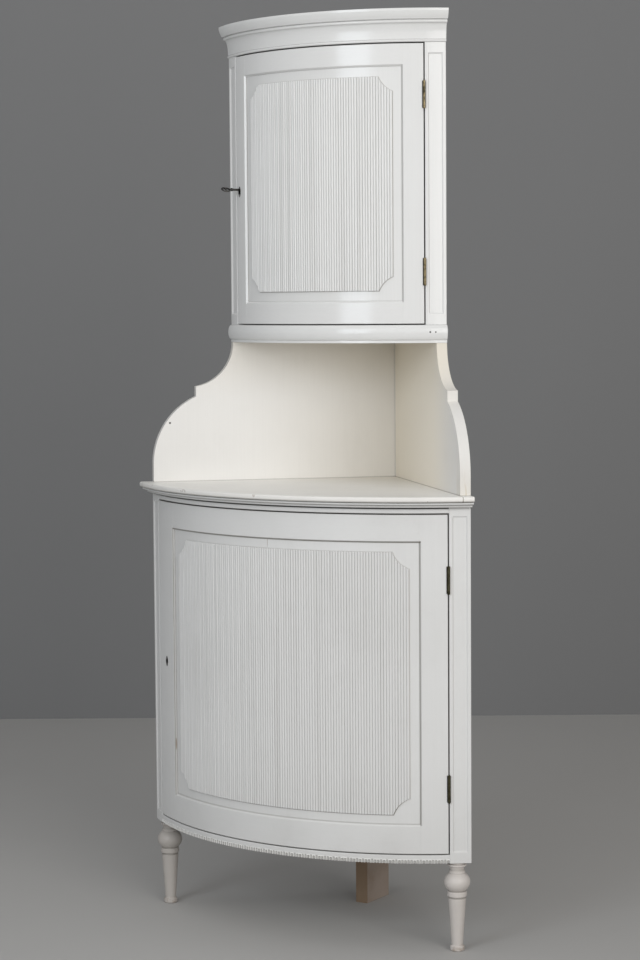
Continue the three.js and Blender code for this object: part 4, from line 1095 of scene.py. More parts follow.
class MakeDoorFrames(bpy.types.Operator):
    """Make the stiles and rails of both doors"""

    bl_idname = "cupboard.door_frames"
    bl_label = "Door frames"

    def execute(self, context):
        sizes = context.scene.cupboard_sizes
        for plan in door_plans(sizes):
            for word, side in SIDES:
                self.make_stile(plan, sizes, word, side)
            self.make_rail(plan, sizes, "bottom", plan.low, plan.open_low)
            self.make_rail(plan, sizes, "top", plan.open_high, plan.high)
        return {"FINISHED"}

    def make_stile(self, plan, sizes, word, side):
        ends = sorted((plan.open_end(side), side * plan.door_arc))
        bm = block_mesh((ends[0], 0, plan.low), (ends[1], sizes.door_thickness, plan.high))
        cutters = [groove_cutter(plan, sizes), opening_cutter(plan, sizes)]
        if side < 0:
            cutters += keyhole_cutters(plan, sizes)
        carve(bm, cutters)
        tidy(bm)
        outer = side * plan.door_arc

        def free(edge):
            return at_front(edge) and (
                all(abs(vert.co.x - outer) < MERGE for vert in edge.verts)
                or all(abs(vert.co.z - plan.low) < MERGE for vert in edge.verts)
                or all(abs(vert.co.z - plan.high) < MERGE for vert in edge.verts)
            )

        soften(bm, sizes.arris, 3, pick=free)
        soften(bm, sizes.joint_edge, 1)
        if side > 0:
            carve(bm, hinge_beds(plan, -1))
        rib(bm, sizes.rib)
        plan.bow.bend(bm)
        name = f"{plan.prefix}_door_stile_{word}"
        finish_piece(bm, f"{name}.fine", plan.body, f"{plan.prefix} stile", [name])

    def make_rail(self, plan, sizes, word, low, high):
        bm = block_mesh((-plan.open_left, 0, low), (plan.open_right, sizes.door_thickness, high))
        carve(bm, [groove_cutter(plan, sizes), opening_cutter(plan, sizes)])
        tidy(bm)
        outer = low if word == "bottom" else high

        def free(edge):
            return at_front(edge) and all(abs(vert.co.z - outer) < MERGE for vert in edge.verts)

        soften(bm, sizes.arris, 3, pick=free)
        soften(bm, sizes.joint_edge, 1)
        rib(bm, sizes.rib)
        plan.bow.bend(bm)
        name = f"{plan.prefix}_door_rail_{word}"
        finish_piece(bm, f"{name}.fine", plan.body, f"{plan.prefix} rail", [name])


REED_STEPS = 8
REED_PLAY = 0.12
REED_END_SHARES = ((0.0, 0.55), (0.25, 0.86), (0.7, 1.0))


class MakePanels(bpy.types.Operator):
    """Make the panels of both doors, each with its reeded field and hollow corners"""

    bl_idname = "cupboard.panels"
    bl_label = "Reeded panels"

    def execute(self, context):
        sizes = context.scene.cupboard_sizes
        for plan in door_plans(sizes):
            bm = bmesh.new()
            tongue = sizes.panel_tongue
            sink = sizes.panel_sink
            low = (-plan.open_left - tongue, sink, plan.open_low - tongue)
            high = (plan.open_right + tongue, sink + sizes.panel_thickness, plan.open_high + tongue)
            block(bm, low, high)
            rib(bm, sizes.rib)
            self.lay_field(bm, plan, sizes)
            plan.bow.bend(bm)
            name = f"{plan.prefix}_door_panel"
            finish_piece(bm, f"{name}.fine", plan.body, f"{plan.prefix} reeds", [name])
        return {"FINISHED"}

    def lay_field(self, bm, plan, sizes):
        """Half-round reeds side by side, ended square and cut by four hollow corners."""
        field = bmesh.new()
        left = plan.open_left - plan.side_margin
        right = plan.open_right - plan.side_margin
        count = round((left + right) / sizes.reed_pitch)
        pitch = (left + right) / count
        valley = sizes.field_rise - sizes.panel_sink
        ends = REED_END_SHARES
        rows = 2 * len(ends) - 1

        def place(column, row):
            reed, step = divmod(column, REED_STEPS)
            turn = math.pi * step / REED_STEPS
            across = (reed + (1 - math.cos(turn)) / 2) * pitch - left
            swell = sizes.reed_height * (1 + REED_PLAY * wobble(reed)) * math.sin(turn)
            inset = min(across + left, right - across)
            gone = sizes.hollow_radius ** 2 - (plan.beyond + inset) ** 2
            drop = max(0.0, math.sqrt(max(0.0, gone)) - plan.beyond)
            from_top = row > rows / 2
            run, grow = ends[rows - row] if from_top else ends[row]
            stand_off = plan.end_margin + drop + run * sizes.reed_height
            level = plan.open_high - stand_off if from_top else plan.open_low + stand_off
            return across, valley + swell * grow, level

        relief(field, count * REED_STEPS, rows, place, -sizes.panel_sink - sizes.field_bury)
        merge_in(bm, field)


def merge_in(bm, other, matrix=None):
    """Add one mesh to another."""
    if matrix is not None:
        bmesh.ops.transform(other, matrix=matrix, verts=other.verts)
    mesh = bpy.data.meshes.new("part")
    other.to_mesh(mesh)
    other.free()
    bm.from_mesh(mesh)
    bpy.data.meshes.remove(mesh)


HINGE_AXIS_OUT = 0.0035
HINGE_BARREL = 0.0032
HINGE_LEAF = 0.0018
HINGE_LEAF_GAP = 0.0004
HINGE_LEAF_WIDTH = 0.018
HINGE_KNUCKLES = 3
HINGE_SEAM = 0.0003
PIN_HEAD = 0.0026
PIN_HEAD_HEIGHT = 0.0016
PIN_STEPS = 5
SCREW_HEAD = 0.0031
SCREW_PROUD = 0.00025
SCREW_SLOT = 0.0007
HINGE_BED_PLAY = 0.0022
HINGE_EDGE = 0.00025
HINGE_SCREW_SHARES = ((-0.33, 0.45), (0.0, 0.3), (0.33, 0.45))
BARREL_SIDES = 36
SCREW_SIDES = 24
PIN_SIDES = 28


def hinge_beds(plan, hand):
    """Cutters of the beds that the hinge leaves lie in; hand is -1 on the door."""
    deep = HINGE_LEAF_GAP + HINGE_LEAF + HINGE_SEAM
    made = []
    for word in ("top", "bottom"):
        low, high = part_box(f"{plan.prefix}_hinge_{word}_door_leaf")
        play = HINGE_BED_PLAY if hand < 0 else 0.0
        ends = sorted((0.0, hand * (deep + play)))
        back = HINGE_LEAF_WIDTH + HINGE_SEAM
        box_low = (ends[0] + plan.hinge_arc, -HINGE_AXIS_OUT, low.z - HINGE_SEAM)
        box_high = (ends[1] + plan.hinge_arc, back, high.z + HINGE_SEAM)
        made.append(block_mesh(box_low, box_high))
    return made


LOCK = {
    "edge_set": 0.002,
    "beyond_key": 0.017,
    "clearance": 0.0005,
    "front_wall": 0.0022,
    "bolt_travel": 0.009,
    "bolt_thickness": 0.003,
    "bolt_height": 0.012,
    "bolt_rise": 0.012,
    "margin": 0.0012,
}


def lock_seat(plan, sizes):
    """How far a flat lock case stands off the back of its bowed stile."""
    reach = max(LOCK["beyond_key"], plan.key_arc + plan.door_arc - LOCK["edge_set"])
    return LOCK["clearance"] + reach ** 2 / (2 * (plan.bow.radius - sizes.door_thickness))


def bolt_pocket(plan, sizes):
    """Cutter of the pocket in a post that a lock's bolt enters."""
    size = LOCK
    near = size["edge_set"] - plan.key_arc - plan.door_arc
    far = near - size["bolt_travel"] - size["margin"] - size["edge_set"]
    front = lock_seat(plan, sizes) + size["front_wall"] - size["margin"]
    back = front + size["bolt_thickness"] + 2 * size["margin"]
    half = size["bolt_height"] / 2 + size["margin"]
    bm = block_mesh((far, front, size["bolt_rise"] - half), (near, back, size["bolt_rise"] + half))
    place = plan.bow.seat(plan.key_arc, -sizes.door_thickness, key_height(plan))
    bmesh.ops.transform(bm, matrix=place, verts=bm.verts)
    return bm


FRAME_EDGE_SHARE = 1.5


class MakePosts(bpy.types.Operator):
    """Make the four corner posts, each with a sunk frame"""

    bl_idname = "cupboard.posts"
    bl_label = "Corner posts"

    def execute(self, context):
        sizes = context.scene.cupboard_sizes
        for plan in door_plans(sizes):
            for word, side in SIDES:
                self.make_post(plan, sizes, word, side)
        return {"FINISHED"}

    def make_post(self, plan, sizes, word, side):
        name = f"{plan.prefix}_post_{word}"
        box_low, box_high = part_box(name)
        bow = plan.bow
        reach = bow.end_arc + sizes.post_width
        ends = sorted((side * plan.post_arc, side * reach))
        bm = block_mesh((ends[0], 0, box_low.z), (ends[1], 2 * sizes.post_depth, box_high.z))
        middle = side * (plan.post_arc + bow.end_arc) / 2
        half = sizes.post_width / 2 - sizes.sunk_side
        slope = sizes.sunk_slope * (1 + OVERRUN / sizes.sunk_depth)
        low = (middle - half, -OVERRUN, box_low.z + sizes.sunk_bottom)
        high = (middle + half, sizes.sunk_depth, box_high.z - plan.frame_top)
        cutters = [tapered_cutter(low, high, slope)]
        if plan.prefix == "lower":
            quirk_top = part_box("counter_moulding")[0].z
            cutters.append(quirk_cutter(sizes, ends[0], ends[1], quirk_top, sizes.quirk_depth / 2))
        carve(bm, cutters)
        tidy(bm)
        inner = side * plan.post_arc

        def beside_door(edge):
            return at_front(edge) and all(abs(vert.co.x - inner) < MERGE for vert in edge.verts)

        def in_frame(edge):
            return all(box_low.z + MERGE < vert.co.z < box_high.z - MERGE for vert in edge.verts)

        soften(bm, sizes.joint_edge * FRAME_EDGE_SHARE, 2, pick=in_frame)
        soften(bm, sizes.arris, 3, pick=beside_door)
        if side > 0:
            carve(bm, hinge_beds(plan, 1))
        rib(bm, sizes.rib)
        bow.bend(bm)
        wall = Vector((0, WALL_CORNER_Y, 0))
        trim(bm, wall, wall_normal(side))
        along = self.along_wall(side)
        on_chord = Vector((side * bow.half_width, bow.chord_y, 0))
        trim(bm, on_chord + along * sizes.post_depth, along)
        if side < 0:
            carve(bm, [bolt_pocket(plan, sizes)])

        def on_wall(edge):
            return all(abs((vert.co - wall).dot(wall_normal(side))) < MERGE for vert in edge.verts)

        soften(bm, sizes.arris, 3, pick=on_wall)
        finish_piece(bm, f"{name}.fine", "case", f"{plan.prefix} upright", [name])

    @staticmethod
    def along_wall(side):
        return Vector((-side, 1, 0)).normalized()


GOUGE_STEPS = 8
GOUGE_PLAY = 0.25
GOUGE_RISE_SHARES = (0.0, 0.25, 0.5, 0.7, 0.85, 0.95, 1.0)
GOUGE_FULLNESS = 0.7
ARRIS_STEPS = 4
ARRIS_ANGLES = tuple(math.pi / 2 * step / ARRIS_STEPS for step in range(ARRIS_STEPS + 1))


def quirk_cutter(sizes, start, end, top, depth):
    """Cutter of the narrow groove that lies in shadow under the counter's moulding."""
    low = (start - OVERRUN, -OVERRUN, top - sizes.quirk_height)
    return block_mesh(low, (end + OVERRUN, depth, top))


class MakeRails(bpy.types.Operator):
    """Make the rails over and under the lower door"""

    bl_idname = "cupboard.rails"
    bl_label = "Case rails"

    def execute(self, context):
        sizes = context.scene.cupboard_sizes
        bow = low_bow(sizes)
        half = bow.end_arc - sizes.post_width
        low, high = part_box("lower_top_rail")
        bm = block_mesh((-half, 0, low.z), (half, sizes.top_rail_depth, high.z))

        def lower_arris(edge):
            return at_front(edge) and all(vert.co.z < low.z + MERGE for vert in edge.verts)

        soften(bm, sizes.arris, 3, pick=lower_arris)
        soften(bm, sizes.joint_edge, 1)
        quirk_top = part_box("counter_moulding")[0].z
        carve(bm, [quirk_cutter(sizes, -half, half, quirk_top, sizes.quirk_depth)])
        rib(bm, sizes.rib)
        bow.bend(bm)
        finish_piece(bm, "lower_top_rail.fine", "case", "lower level", ["lower_top_rail"])
        self.make_bottom_rail(sizes, bow, half)
        return {"FINISHED"}

    def make_bottom_rail(self, sizes, bow, half):
        """The rail's lower edge carries a row of upright gouges."""
        low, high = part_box("lower_bottom_rail")
        count = int(2 * half / sizes.gouge_pitch)
        steps = GOUGE_STEPS
        heights = [low.z + sizes.gouge_height * part for part in GOUGE_RISE_SHARES]
        top_round = sizes.arris
        top = [high.z - top_round * (1 - math.sin(angle)) for angle in ARRIS_ANGLES]
        top_in = [top_round * (1 - math.cos(angle)) for angle in ARRIS_ANGLES]
        levels = heights + top
        insets = [0.0] * len(heights) + top_in

        def place(column, row):
            across = column / steps * 2 * half / count - half
            turn = math.pi * (column % steps) / steps
            hand = wobble(column // steps)
            rise = (levels[row] - low.z) / (sizes.gouge_height * (1 - GOUGE_PLAY * (1 + hand) / 2))
            full = math.sin(turn) ** GOUGE_FULLNESS
            deep = sizes.gouge_depth * full * math.sqrt(max(0.0, 1 - rise * rise))
            return across, -deep * (1 + GOUGE_PLAY * hand) - insets[row], levels[row]

        bm = bmesh.new()
        relief(bm, count * steps, len(levels) - 1, place, -sizes.rail_depth)
        bow.bend(bm)
        finish_piece(bm, "lower_bottom_rail.fine", "case", "lower level", ["lower_bottom_rail"])


MOULD_STEPS = 14
TORUS_STEPS = 24


def half_round(root, proud, bottom, height, steps=MOULD_STEPS):
    """Half round from one height to another, standing proud of a root line."""
    points = []
    for step in range(steps + 1):
        turn = math.pi * (step / steps - 0.5)
        out = root + (proud - root) * math.cos(turn)
        points.append((out, bottom + height * (1 + math.sin(turn)) / 2))
    return points


def hollow(foot, head, bottom, height):
    """Quarter hollow that starts upright at its foot and runs out level at its head."""
    points = []
    for step in range(MOULD_STEPS + 1):
        turn = math.pi / 2 * step / MOULD_STEPS
        out = foot + (head - foot) * (1 - math.cos(turn))
        points.append((out, bottom + height * math.sin(turn)))
    return points


def swell(foot, head, bottom, height, belly):
    """Sloping member with a slight belly."""
    points = []
    for step in range(MOULD_STEPS + 1):
        part = step / MOULD_STEPS
        out = foot + (head - foot) * (part + belly * math.sin(math.pi * part))
        points.append((out, bottom + height * part))
    return points


def mould(section, bow, sizes, name, finish):
    """Moulding that runs round a bow from wall to wall."""
    bm = bmesh.new()
    run = bow.end_arc + sizes.post_width
    draw_section(bm, section, -run, run)
    soften(bm, sizes.joint_edge, 2)
    rib(bm, sizes.rib)
    bow.bend(bm)
    trim_at_walls(bm)
    finish_piece(bm, f"{name}.fine", "case", finish, [name])


CORNICE = {
    "depth": 0.040,
    "bead_height": 0.0065,
    "bead_proud": 0.0026,
    "hollow_height": 0.035,
    "hollow_foot": 0.0014,
    "hollow_head": 0.0095,
    "ring_height": 0.008,
    "ring_proud": 0.0126,
    "crown_foot": 0.0162,
    "crown_head": 0.0234,
    "lip": 0.005,
    "belly": 0.12,
    "quirk": 0.0007,
}
PLINTH = {
    "depth": 0.040,
    "fillet_height": 0.0055,
    "fillet_proud": 0.001,
    "torus_proud": 0.0075,
    "quirk": 0.0007,
}
COUNTER = {
    "bead_out": 0.025,
    "bead_height": 0.0062,
    "cove_head": 0.018,
    "cove_foot": 0.013,
    "fillet": 0.0018,
    "back": 0.0003,
    "housing": 0.002,
    "seam": 0.0003,
}


class MakeMouldings(bpy.types.Operator):
    """Make the cornice, the base moulding and the moulding under the counter"""

    bl_idname = "cupboard.mouldings"
    bl_label = "Mouldings"

    def execute(self, context):
        sizes = context.scene.cupboard_sizes
        self.make_cornice(sizes)
        self.make_base(sizes)
        self.make_counter_moulding(sizes)
        return {"FINISHED"}

    def make_cornice(self, sizes):
        size = CORNICE
        low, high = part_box("cornice")
        hollow_low = low.z + size["bead_height"]
        ring_low = hollow_low + size["hollow_height"]
        crown_low = ring_low + size["ring_height"]
        crown_rise = high.z - size["lip"] - crown_low
        hollow_head = size["hollow_head"]
        section = [
            (-size["depth"], low.z),
            *half_round(0.0, size["bead_proud"], low.z, size["bead_height"] - size["quirk"]),
            (0.0, hollow_low),
            *hollow(size["hollow_foot"], hollow_head, hollow_low, size["hollow_height"]),
            *half_round(hollow_head, size["ring_proud"], ring_low, size["ring_height"] - size["quirk"]),
            (hollow_head, crown_low),
            *swell(size["crown_foot"], size["crown_head"], crown_low, crown_rise, size["belly"]),
            (size["crown_head"], high.z),
            (-size["depth"], high.z),
        ]
        mould(section, up_bow(sizes), sizes, "cornice", "upper level")

    def make_base(self, sizes):
        size = PLINTH
        low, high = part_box("upper_base_moulding")
        torus_low = low.z + size["fillet_height"]
        torus_foot = torus_low + size["quirk"]
        section = [
            (-size["depth"], low.z),
            (size["fillet_proud"], low.z),
            (size["fillet_proud"], torus_low),
            (0.0, torus_low),
            *half_round(0.0, size["torus_proud"], torus_foot, high.z - torus_foot, TORUS_STEPS),
            (-size["depth"], high.z),
        ]
        mould(section, up_bow(sizes), sizes, "upper_base_moulding", "upper level")

    def make_counter_moulding(self, sizes):
        size = COUNTER
        low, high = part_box("counter_moulding")
        bead_low = high.z - size["bead_height"]
        cove_low = low.z + size["fillet"]
        section = [
            (size["back"], low.z),
            (size["cove_foot"], low.z),
            *hollow(size["cove_foot"], size["cove_head"], cove_low, bead_low - cove_low),
            *half_round(size["cove_head"], size["bead_out"], bead_low, size["bead_height"]),
            (size["back"], high.z),
        ]
        mould(section, low_bow(sizes), sizes, "counter_moulding", "lower level")


COUNTER_CORE_SHARE = 0.6
COUNTER_SWEEP = math.radians(44)
NOSE_STEPS = 6


class MakeCounter(bpy.types.Operator):
    """Make the counter board with its rounded nose"""

    bl_idname = "cupboard.counter"
    bl_label = "Counter"

    def execute(self, context):
        sizes = context.scene.cupboard_sizes
        bow = low_bow(sizes)
        low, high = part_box("counter_board")
        inner = (WALL_CORNER_Y - bow.centre_y) * COUNTER_CORE_SHARE
        run = bow.radius * COUNTER_SWEEP
        bm = bmesh.new()
        back = -bow.radius - inner
        section = [(back, low.z), (sizes.nose_out, low.z), (sizes.nose_out, high.z), (back, high.z)]
        draw_section(bm, section, -run, run)

        def nose(edge):
            return all(vert.co.y < -sizes.nose_out + MERGE for vert in edge.verts) and abs(
                edge.verts[0].co.x - edge.verts[1].co.x) > MERGE

        soften(bm, sizes.nose_round, NOSE_STEPS, pick=nose)
        rib(bm, sizes.rib)
        bow.bend(bm)
        trim_at_walls(bm)
        carve(bm, [self.housing(sizes, side, high.z) for _, side in SIDES])
        finish_piece(bm, "counter_board.fine", "case", "counter", ["counter_board"])
        return {"FINISHED"}

    def housing(self, sizes, side, top):
        """Cutter of the rebate along a wall in which the wall board stands."""
        size = COUNTER
        inner = sizes.board + size["seam"]
        rear = sizes.low_half_width * math.sqrt(2) + OVERRUN
        low = (-size["seam"], -OVERRUN, top - size["housing"])
        bm = block_mesh(low, (rear, inner, top + OVERRUN))
        bmesh.ops.transform(bm, matrix=wall_frame(sizes, side), verts=bm.verts)
        if side > 0:
            bmesh.ops.reverse_faces(bm, faces=bm.faces)
        return bm


WING = {
    "front_height": 0.0415,
    "convex_radius": 0.177,
    "step_along": 0.104,
    "step_height": 0.024,
    "concave_radius": 0.107,
    "concave_rise": 0.003,
    "edge": 0.0028,
    "seam": 0.0003,
}
WING_STEPS = 28


class MakeWings(bpy.types.Operator):
    """Make the wall boards whose front edges are shaped as wings beside the niche"""

    bl_idname = "cupboard.wings"
    bl_label = "Wall boards"

    def execute(self, context):
        sizes = context.scene.cupboard_sizes
        for word, side in SIDES:
            name = f"upper_side_{word}"
            low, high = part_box(name)
            bm = bmesh.new()
            outline = self.outline(sizes, side, low.z, high.z)
            face = bm.faces.new([bm.verts.new((along, 0, height)) for along, height in outline])
            drawn = bmesh.ops.extrude_face_region(bm, geom=[face])["geom"]
            moved = [item for item in drawn if isinstance(item, bmesh.types.BMVert)]
            bmesh.ops.translate(bm, verts=moved, vec=(0, sizes.board, 0))
            fore = (sizes.low_half_width - sizes.up_half_width) * math.sqrt(2)
            case_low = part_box("upper_base_moulding")[0].z

            def shaped(edge):
                return all(
                    vert.co.x < fore - MERGE and vert.co.z < case_low - WING["seam"] - MERGE
                    for vert in edge.verts
                ) and abs(edge.verts[0].co.y - edge.verts[1].co.y) < MERGE

            soften(bm, WING["edge"], 4, pick=shaped)
            soften(bm, sizes.soft_edge, 2, pick=lambda edge: not shaped(edge))
            bmesh.ops.transform(bm, matrix=wall_frame(sizes, side), verts=bm.verts)
            finish_piece(bm, f"{name}.fine", "case", "niche", [name])
        return {"FINISHED"}

    def outline(self, sizes, side, foot, top):
        """Outline in (along the wall, height): the shaped end, then straight to the top."""
        size = WING
        fore = (sizes.low_half_width - sizes.up_half_width) * math.sqrt(2)
        case_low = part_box("upper_base_moulding")[0].z
        radius = size["convex_radius"]
        convex_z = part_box("counter_board")[1].z + size["front_height"]
        convex_end = math.acos((radius - size["step_along"]) / radius)
        points = [(0.0, foot)]
        steps = WING_STEPS
        for step in range(steps + 1):
            turn = math.pi - convex_end * step / steps
            points.append((radius + radius * math.cos(turn), convex_z + radius * math.sin(turn)))
        step_top = points[-1][1] + size["step_height"]
        hollow_radius = size["concave_radius"]
        hollow_x = fore - hollow_radius
        start = math.acos((size["step_along"] - hollow_x) / hollow_radius)
        hollow_z = step_top + hollow_radius * math.sin(start)
        tip = min(hollow_z, case_low) - size["concave_rise"]
        end = math.asin(max(-1.0, (tip - hollow_z) / hollow_radius))
        for step in range(steps + 1):
            turn = -start + (end + start) * step / steps
            along = hollow_x + hollow_radius * math.cos(turn)
            points.append((along, hollow_z + hollow_radius * math.sin(turn)))
        behind = fore + sizes.post_depth + size["seam"]
        length_along = sizes.low_half_width * math.sqrt(2)
        rear = length_along if side < 0 else length_along - sizes.board - size["seam"]
        shoulder = case_low - size["seam"]
        return points + [(fore, shoulder), (behind, shoulder), (behind, top), (rear, top), (rear, foot)]


LEG = {
    "foot_radius": 0.0163,
    "foot_height": 0.013,
    "foot_round": 0.0025,
    "taper_foot": 0.0128,
    "taper_top": 0.0199,
    "taper_height": 0.120,
    "groove_radius": 0.0184,
    "groove_height": 0.003,
    "collar_radius": 0.022,
    "collar_height": 0.0125,
    "collar_round": 0.0018,
    "neck_radius": 0.019,
    "neck_gap": 0.0015,
    "ball_radius": 0.0295,
    "ball_half_height": 0.025,
    "ball_head": 0.017,
    "ring_radius": 0.0182,
    "ring_height": 0.0045,
    "throat_radius": 0.0158,
    "throat_height": 0.0035,
    "cup_radius": 0.0214,
    "cup_rise": 0.0085,
    "cup_lip": 0.004,
    "top_radius": 0.017,
    "edge": 0.0006,
}
LEG_SEGMENTS = 72
BALL_STEPS = 20


class MakeLegs(bpy.types.Operator):
    """Make the two turned front legs"""

    bl_idname = "cupboard.legs"
    bl_label = "Turned legs"

    def execute(self, context):
        sizes = context.scene.cupboard_sizes
        bow = low_bow(sizes)
        for word, side in SIDES:
            name = f"front_leg_{word}"
            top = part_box(name)[1].z
            bm = bmesh.new()
            verts = [bm.verts.new((radius, 0, height)) for radius, height in self.profile(top)]
            edges = [bm.edges.new(pair) for pair in zip(verts, verts[1:])]
            lathe(bm, verts + edges, LEG_SEGMENTS)
            bmesh.ops.remove_doubles(bm, verts=bm.verts, dist=MERGE)
            soften(bm, LEG["edge"], 2)
            place = bow.place(side * (bow.end_arc - sizes.leg_from_wall), -sizes.leg_set_in, 0)
            bmesh.ops.translate(bm, verts=bm.verts, vec=place)
            finish_piece(bm, f"{name}.fine", "case", "leg", [name])
        return {"FINISHED"}

    def profile(self, top):
        """Foot, taper, groove, collar, ball, ring, flared cup and neck, as (radius, height)."""
        size = LEG
        taper_z = size["taper_height"]
        collar_low = taper_z + size["groove_height"]
        collar_top = collar_low + size["collar_height"]
        round_off = size["collar_round"]
        start = math.asin(size["neck_radius"] / size["ball_radius"])
        end = math.pi - math.asin(size["ball_head"] / size["ball_radius"])
        ball_z = collar_top + size["neck_gap"] + size["ball_half_height"] * math.cos(start)
        ball = []
        for step in range(BALL_STEPS + 1):
            turn = start + (end - start) * step / BALL_STEPS
            level = ball_z - size["ball_half_height"] * math.cos(turn)
            ball.append((size["ball_radius"] * math.sin(turn), level))
        ring_low = ball[-1][1]
        ring_top = ring_low + size["ring_height"]
        cup_low = ring_top + size["throat_height"]
        cup = hollow(size["throat_radius"], size["cup_radius"], cup_low, size["cup_rise"])
        cup_top = cup[-1][1] + size["cup_lip"]
        return [
            (0.0, 0.0),
            (size["foot_radius"] - size["foot_round"], 0.0),
            (size["foot_radius"], size["foot_round"]),
            (size["foot_radius"], size["foot_height"] - size["foot_round"]),
            (size["taper_foot"], size["foot_height"]),
            (size["taper_top"], taper_z - round_off),
            (size["taper_top"], taper_z),
            (size["groove_radius"], taper_z),
            (size["groove_radius"], collar_low),
            (size["collar_radius"] - round_off, collar_low),
            (size["collar_radius"], collar_low + round_off),
            (size["collar_radius"], collar_top - round_off),
            (size["collar_radius"] - round_off, collar_top),
            (size["neck_radius"], collar_top),
            *ball,
            (size["ring_radius"], ring_low),
            (size["ring_radius"], ring_top),
            (size["throat_radius"], ring_top),
            *cup,
            (size["cup_radius"], cup_top),
            (size["top_radius"], cup_top),
            (size["top_radius"], top),
            (0.0, top),
        ]


class MakeHinges(bpy.types.Operator):
    """Make the butt hinges, with their leaves, knuckles, pins and screws"""

    bl_idname = "cupboard.hinges"
    bl_label = "Hinges"

    def execute(self, context):
        sizes = context.scene.cupboard_sizes
        screw = self.screw_mesh()
        for plan in door_plans(sizes):
            for word in ("top", "bottom"):
                stem = f"{plan.prefix}_hinge_{word}"
                low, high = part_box(f"{stem}_post_leaf")
                height = high.z - low.z + HINGE_SEAM
                seat = plan.bow.seat(plan.hinge_arc, HINGE_AXIS_OUT, (low.z + high.z) / 2)
                finish = "brass" if plan.prefix == "upper" else "dull brass"
                for hand, half, body in ((-1, "door_leaf", plan.body), (1, "post_leaf", "case")):
                    bm = self.leaf(height, hand, screw)
                    bmesh.ops.transform(bm, matrix=seat, verts=bm.verts)
                    finish_piece(bm, f"{stem}_{half}.fine", body, finish, [f"{stem}_{half}"])
                pin = bmesh.new()
                self.pin(pin, height)
                bmesh.ops.transform(pin, matrix=seat, verts=pin.verts)
                pin_body = next(b for b, nodes in BODIES.items() if f"{stem}_pin" in nodes)
                finish_piece(pin, f"{stem}_pin.fine", pin_body, finish, [f"{stem}_pin"])
        bpy.data.meshes.remove(screw)
        return {"FINISHED"}

    def leaf(self, height, hand, screw):
        """One leaf with its share of the knuckles."""
        bm = bmesh.new()
        ends = sorted((hand * HINGE_LEAF_GAP, hand * (HINGE_LEAF_GAP + HINGE_LEAF)))
        knuckle = height / HINGE_KNUCKLES
        far = HINGE_AXIS_OUT + HINGE_LEAF_WIDTH
        clear = HINGE_BARREL + HINGE_SEAM
        block(bm, (ends[0], clear, -height / 2), (ends[1], far, height / 2))
        first = 1 if hand < 0 else 0
        for index in range(first, HINGE_KNUCKLES, 2):
            low = index * knuckle - height / 2 + HINGE_SEAM / 2
            high = low + knuckle - HINGE_SEAM
            middle = Matrix.Translation((0, 0, (low + high) / 2))
            bmesh.ops.create_cone(bm, cap_ends=True, segments=BARREL_SIDES, radius1=HINGE_BARREL,
                                  radius2=HINGE_BARREL, depth=high - low, matrix=middle)
            block(bm, (ends[0], 0, low), (ends[1], clear + HINGE_SEAM, high))
        soften(bm, HINGE_EDGE, 2)
        for level, back in HINGE_SCREW_SHARES:
            turn = Matrix.Rotation(-hand * math.pi / 2, 4, "Y")
            seat = (hand * HINGE_LEAF_GAP, far - HINGE_LEAF_WIDTH * back, level * height)
            place = Matrix.Translation(seat)
            part = bmesh.new()
            part.from_mesh(screw)
            merge_in(bm, part, place @ turn)
        return bm

    def screw_mesh(self):
        """Flat screw head with a slot, its face towards +z."""
        bm = bmesh.new()
        sunk = Matrix.Translation((0, 0, -SCREW_PROUD))
        bmesh.ops.create_cone(bm, cap_ends=True, segments=SCREW_SIDES, radius1=SCREW_HEAD,
                              radius2=SCREW_HEAD, depth=4 * SCREW_PROUD, matrix=sunk)
        half = SCREW_SLOT / 2
        carve(bm, [block_mesh((-half, -OVERRUN, 0), (half, OVERRUN, OVERRUN))])
        mesh = bpy.data.meshes.new("screw")
        bm.to_mesh(mesh)
        bm.free()
        return mesh

    def pin(self, bm, height):
        """Pin with a low head at each end."""
        rod_half = height / 2 + HINGE_SEAM
        points = [(0.0, -rod_half - PIN_HEAD_HEIGHT)]
        for step in range(PIN_STEPS):
            turn = math.pi / 2 * (step + 1) / PIN_STEPS
            points.append((PIN_HEAD * math.sin(turn), -rod_half - PIN_HEAD_HEIGHT * math.cos(turn)))
        points += [(radius, -height_at) for radius, height_at in reversed(points)]
        verts = [bm.verts.new((radius, 0, level)) for radius, level in points]
        edges = [bm.edges.new(pair) for pair in zip(verts, verts[1:])]
        lathe(bm, verts + edges, PIN_SIDES)


KEY = {
    "proud": 0.046,
    "bow_length": 0.022,
    "bow_width": 0.024,
    "rim": 0.0038,
    "thickness": 0.0034,
    "shank": 0.0026,
    "collar": 0.0039,
    "collar_length": 0.003,
    "bit_reach": 0.0096,
    "bit_thickness": 0.002,
    "chamber_front": 0.0066,
    "chamber_back": 0.0114,
    "seam": 0.0003,
    "tilt": math.radians(25),
    "edge": 0.0005,
}
KEY_EYE_SHARES = {"radius": 0.12, "wire": 0.26, "across": 0.2}
KEY_BAR_SHARE = 0.3
KEY_COLLAR_SHARES = ((1.0, 0.0, 1.0), (0.86, 1.2, 1.9))
KEY_BAR_SIDES = 16
KEY_SHANK_SIDES = 32
KEY_WIRE_SIDES = 14
KEY_RING_STEPS = 48


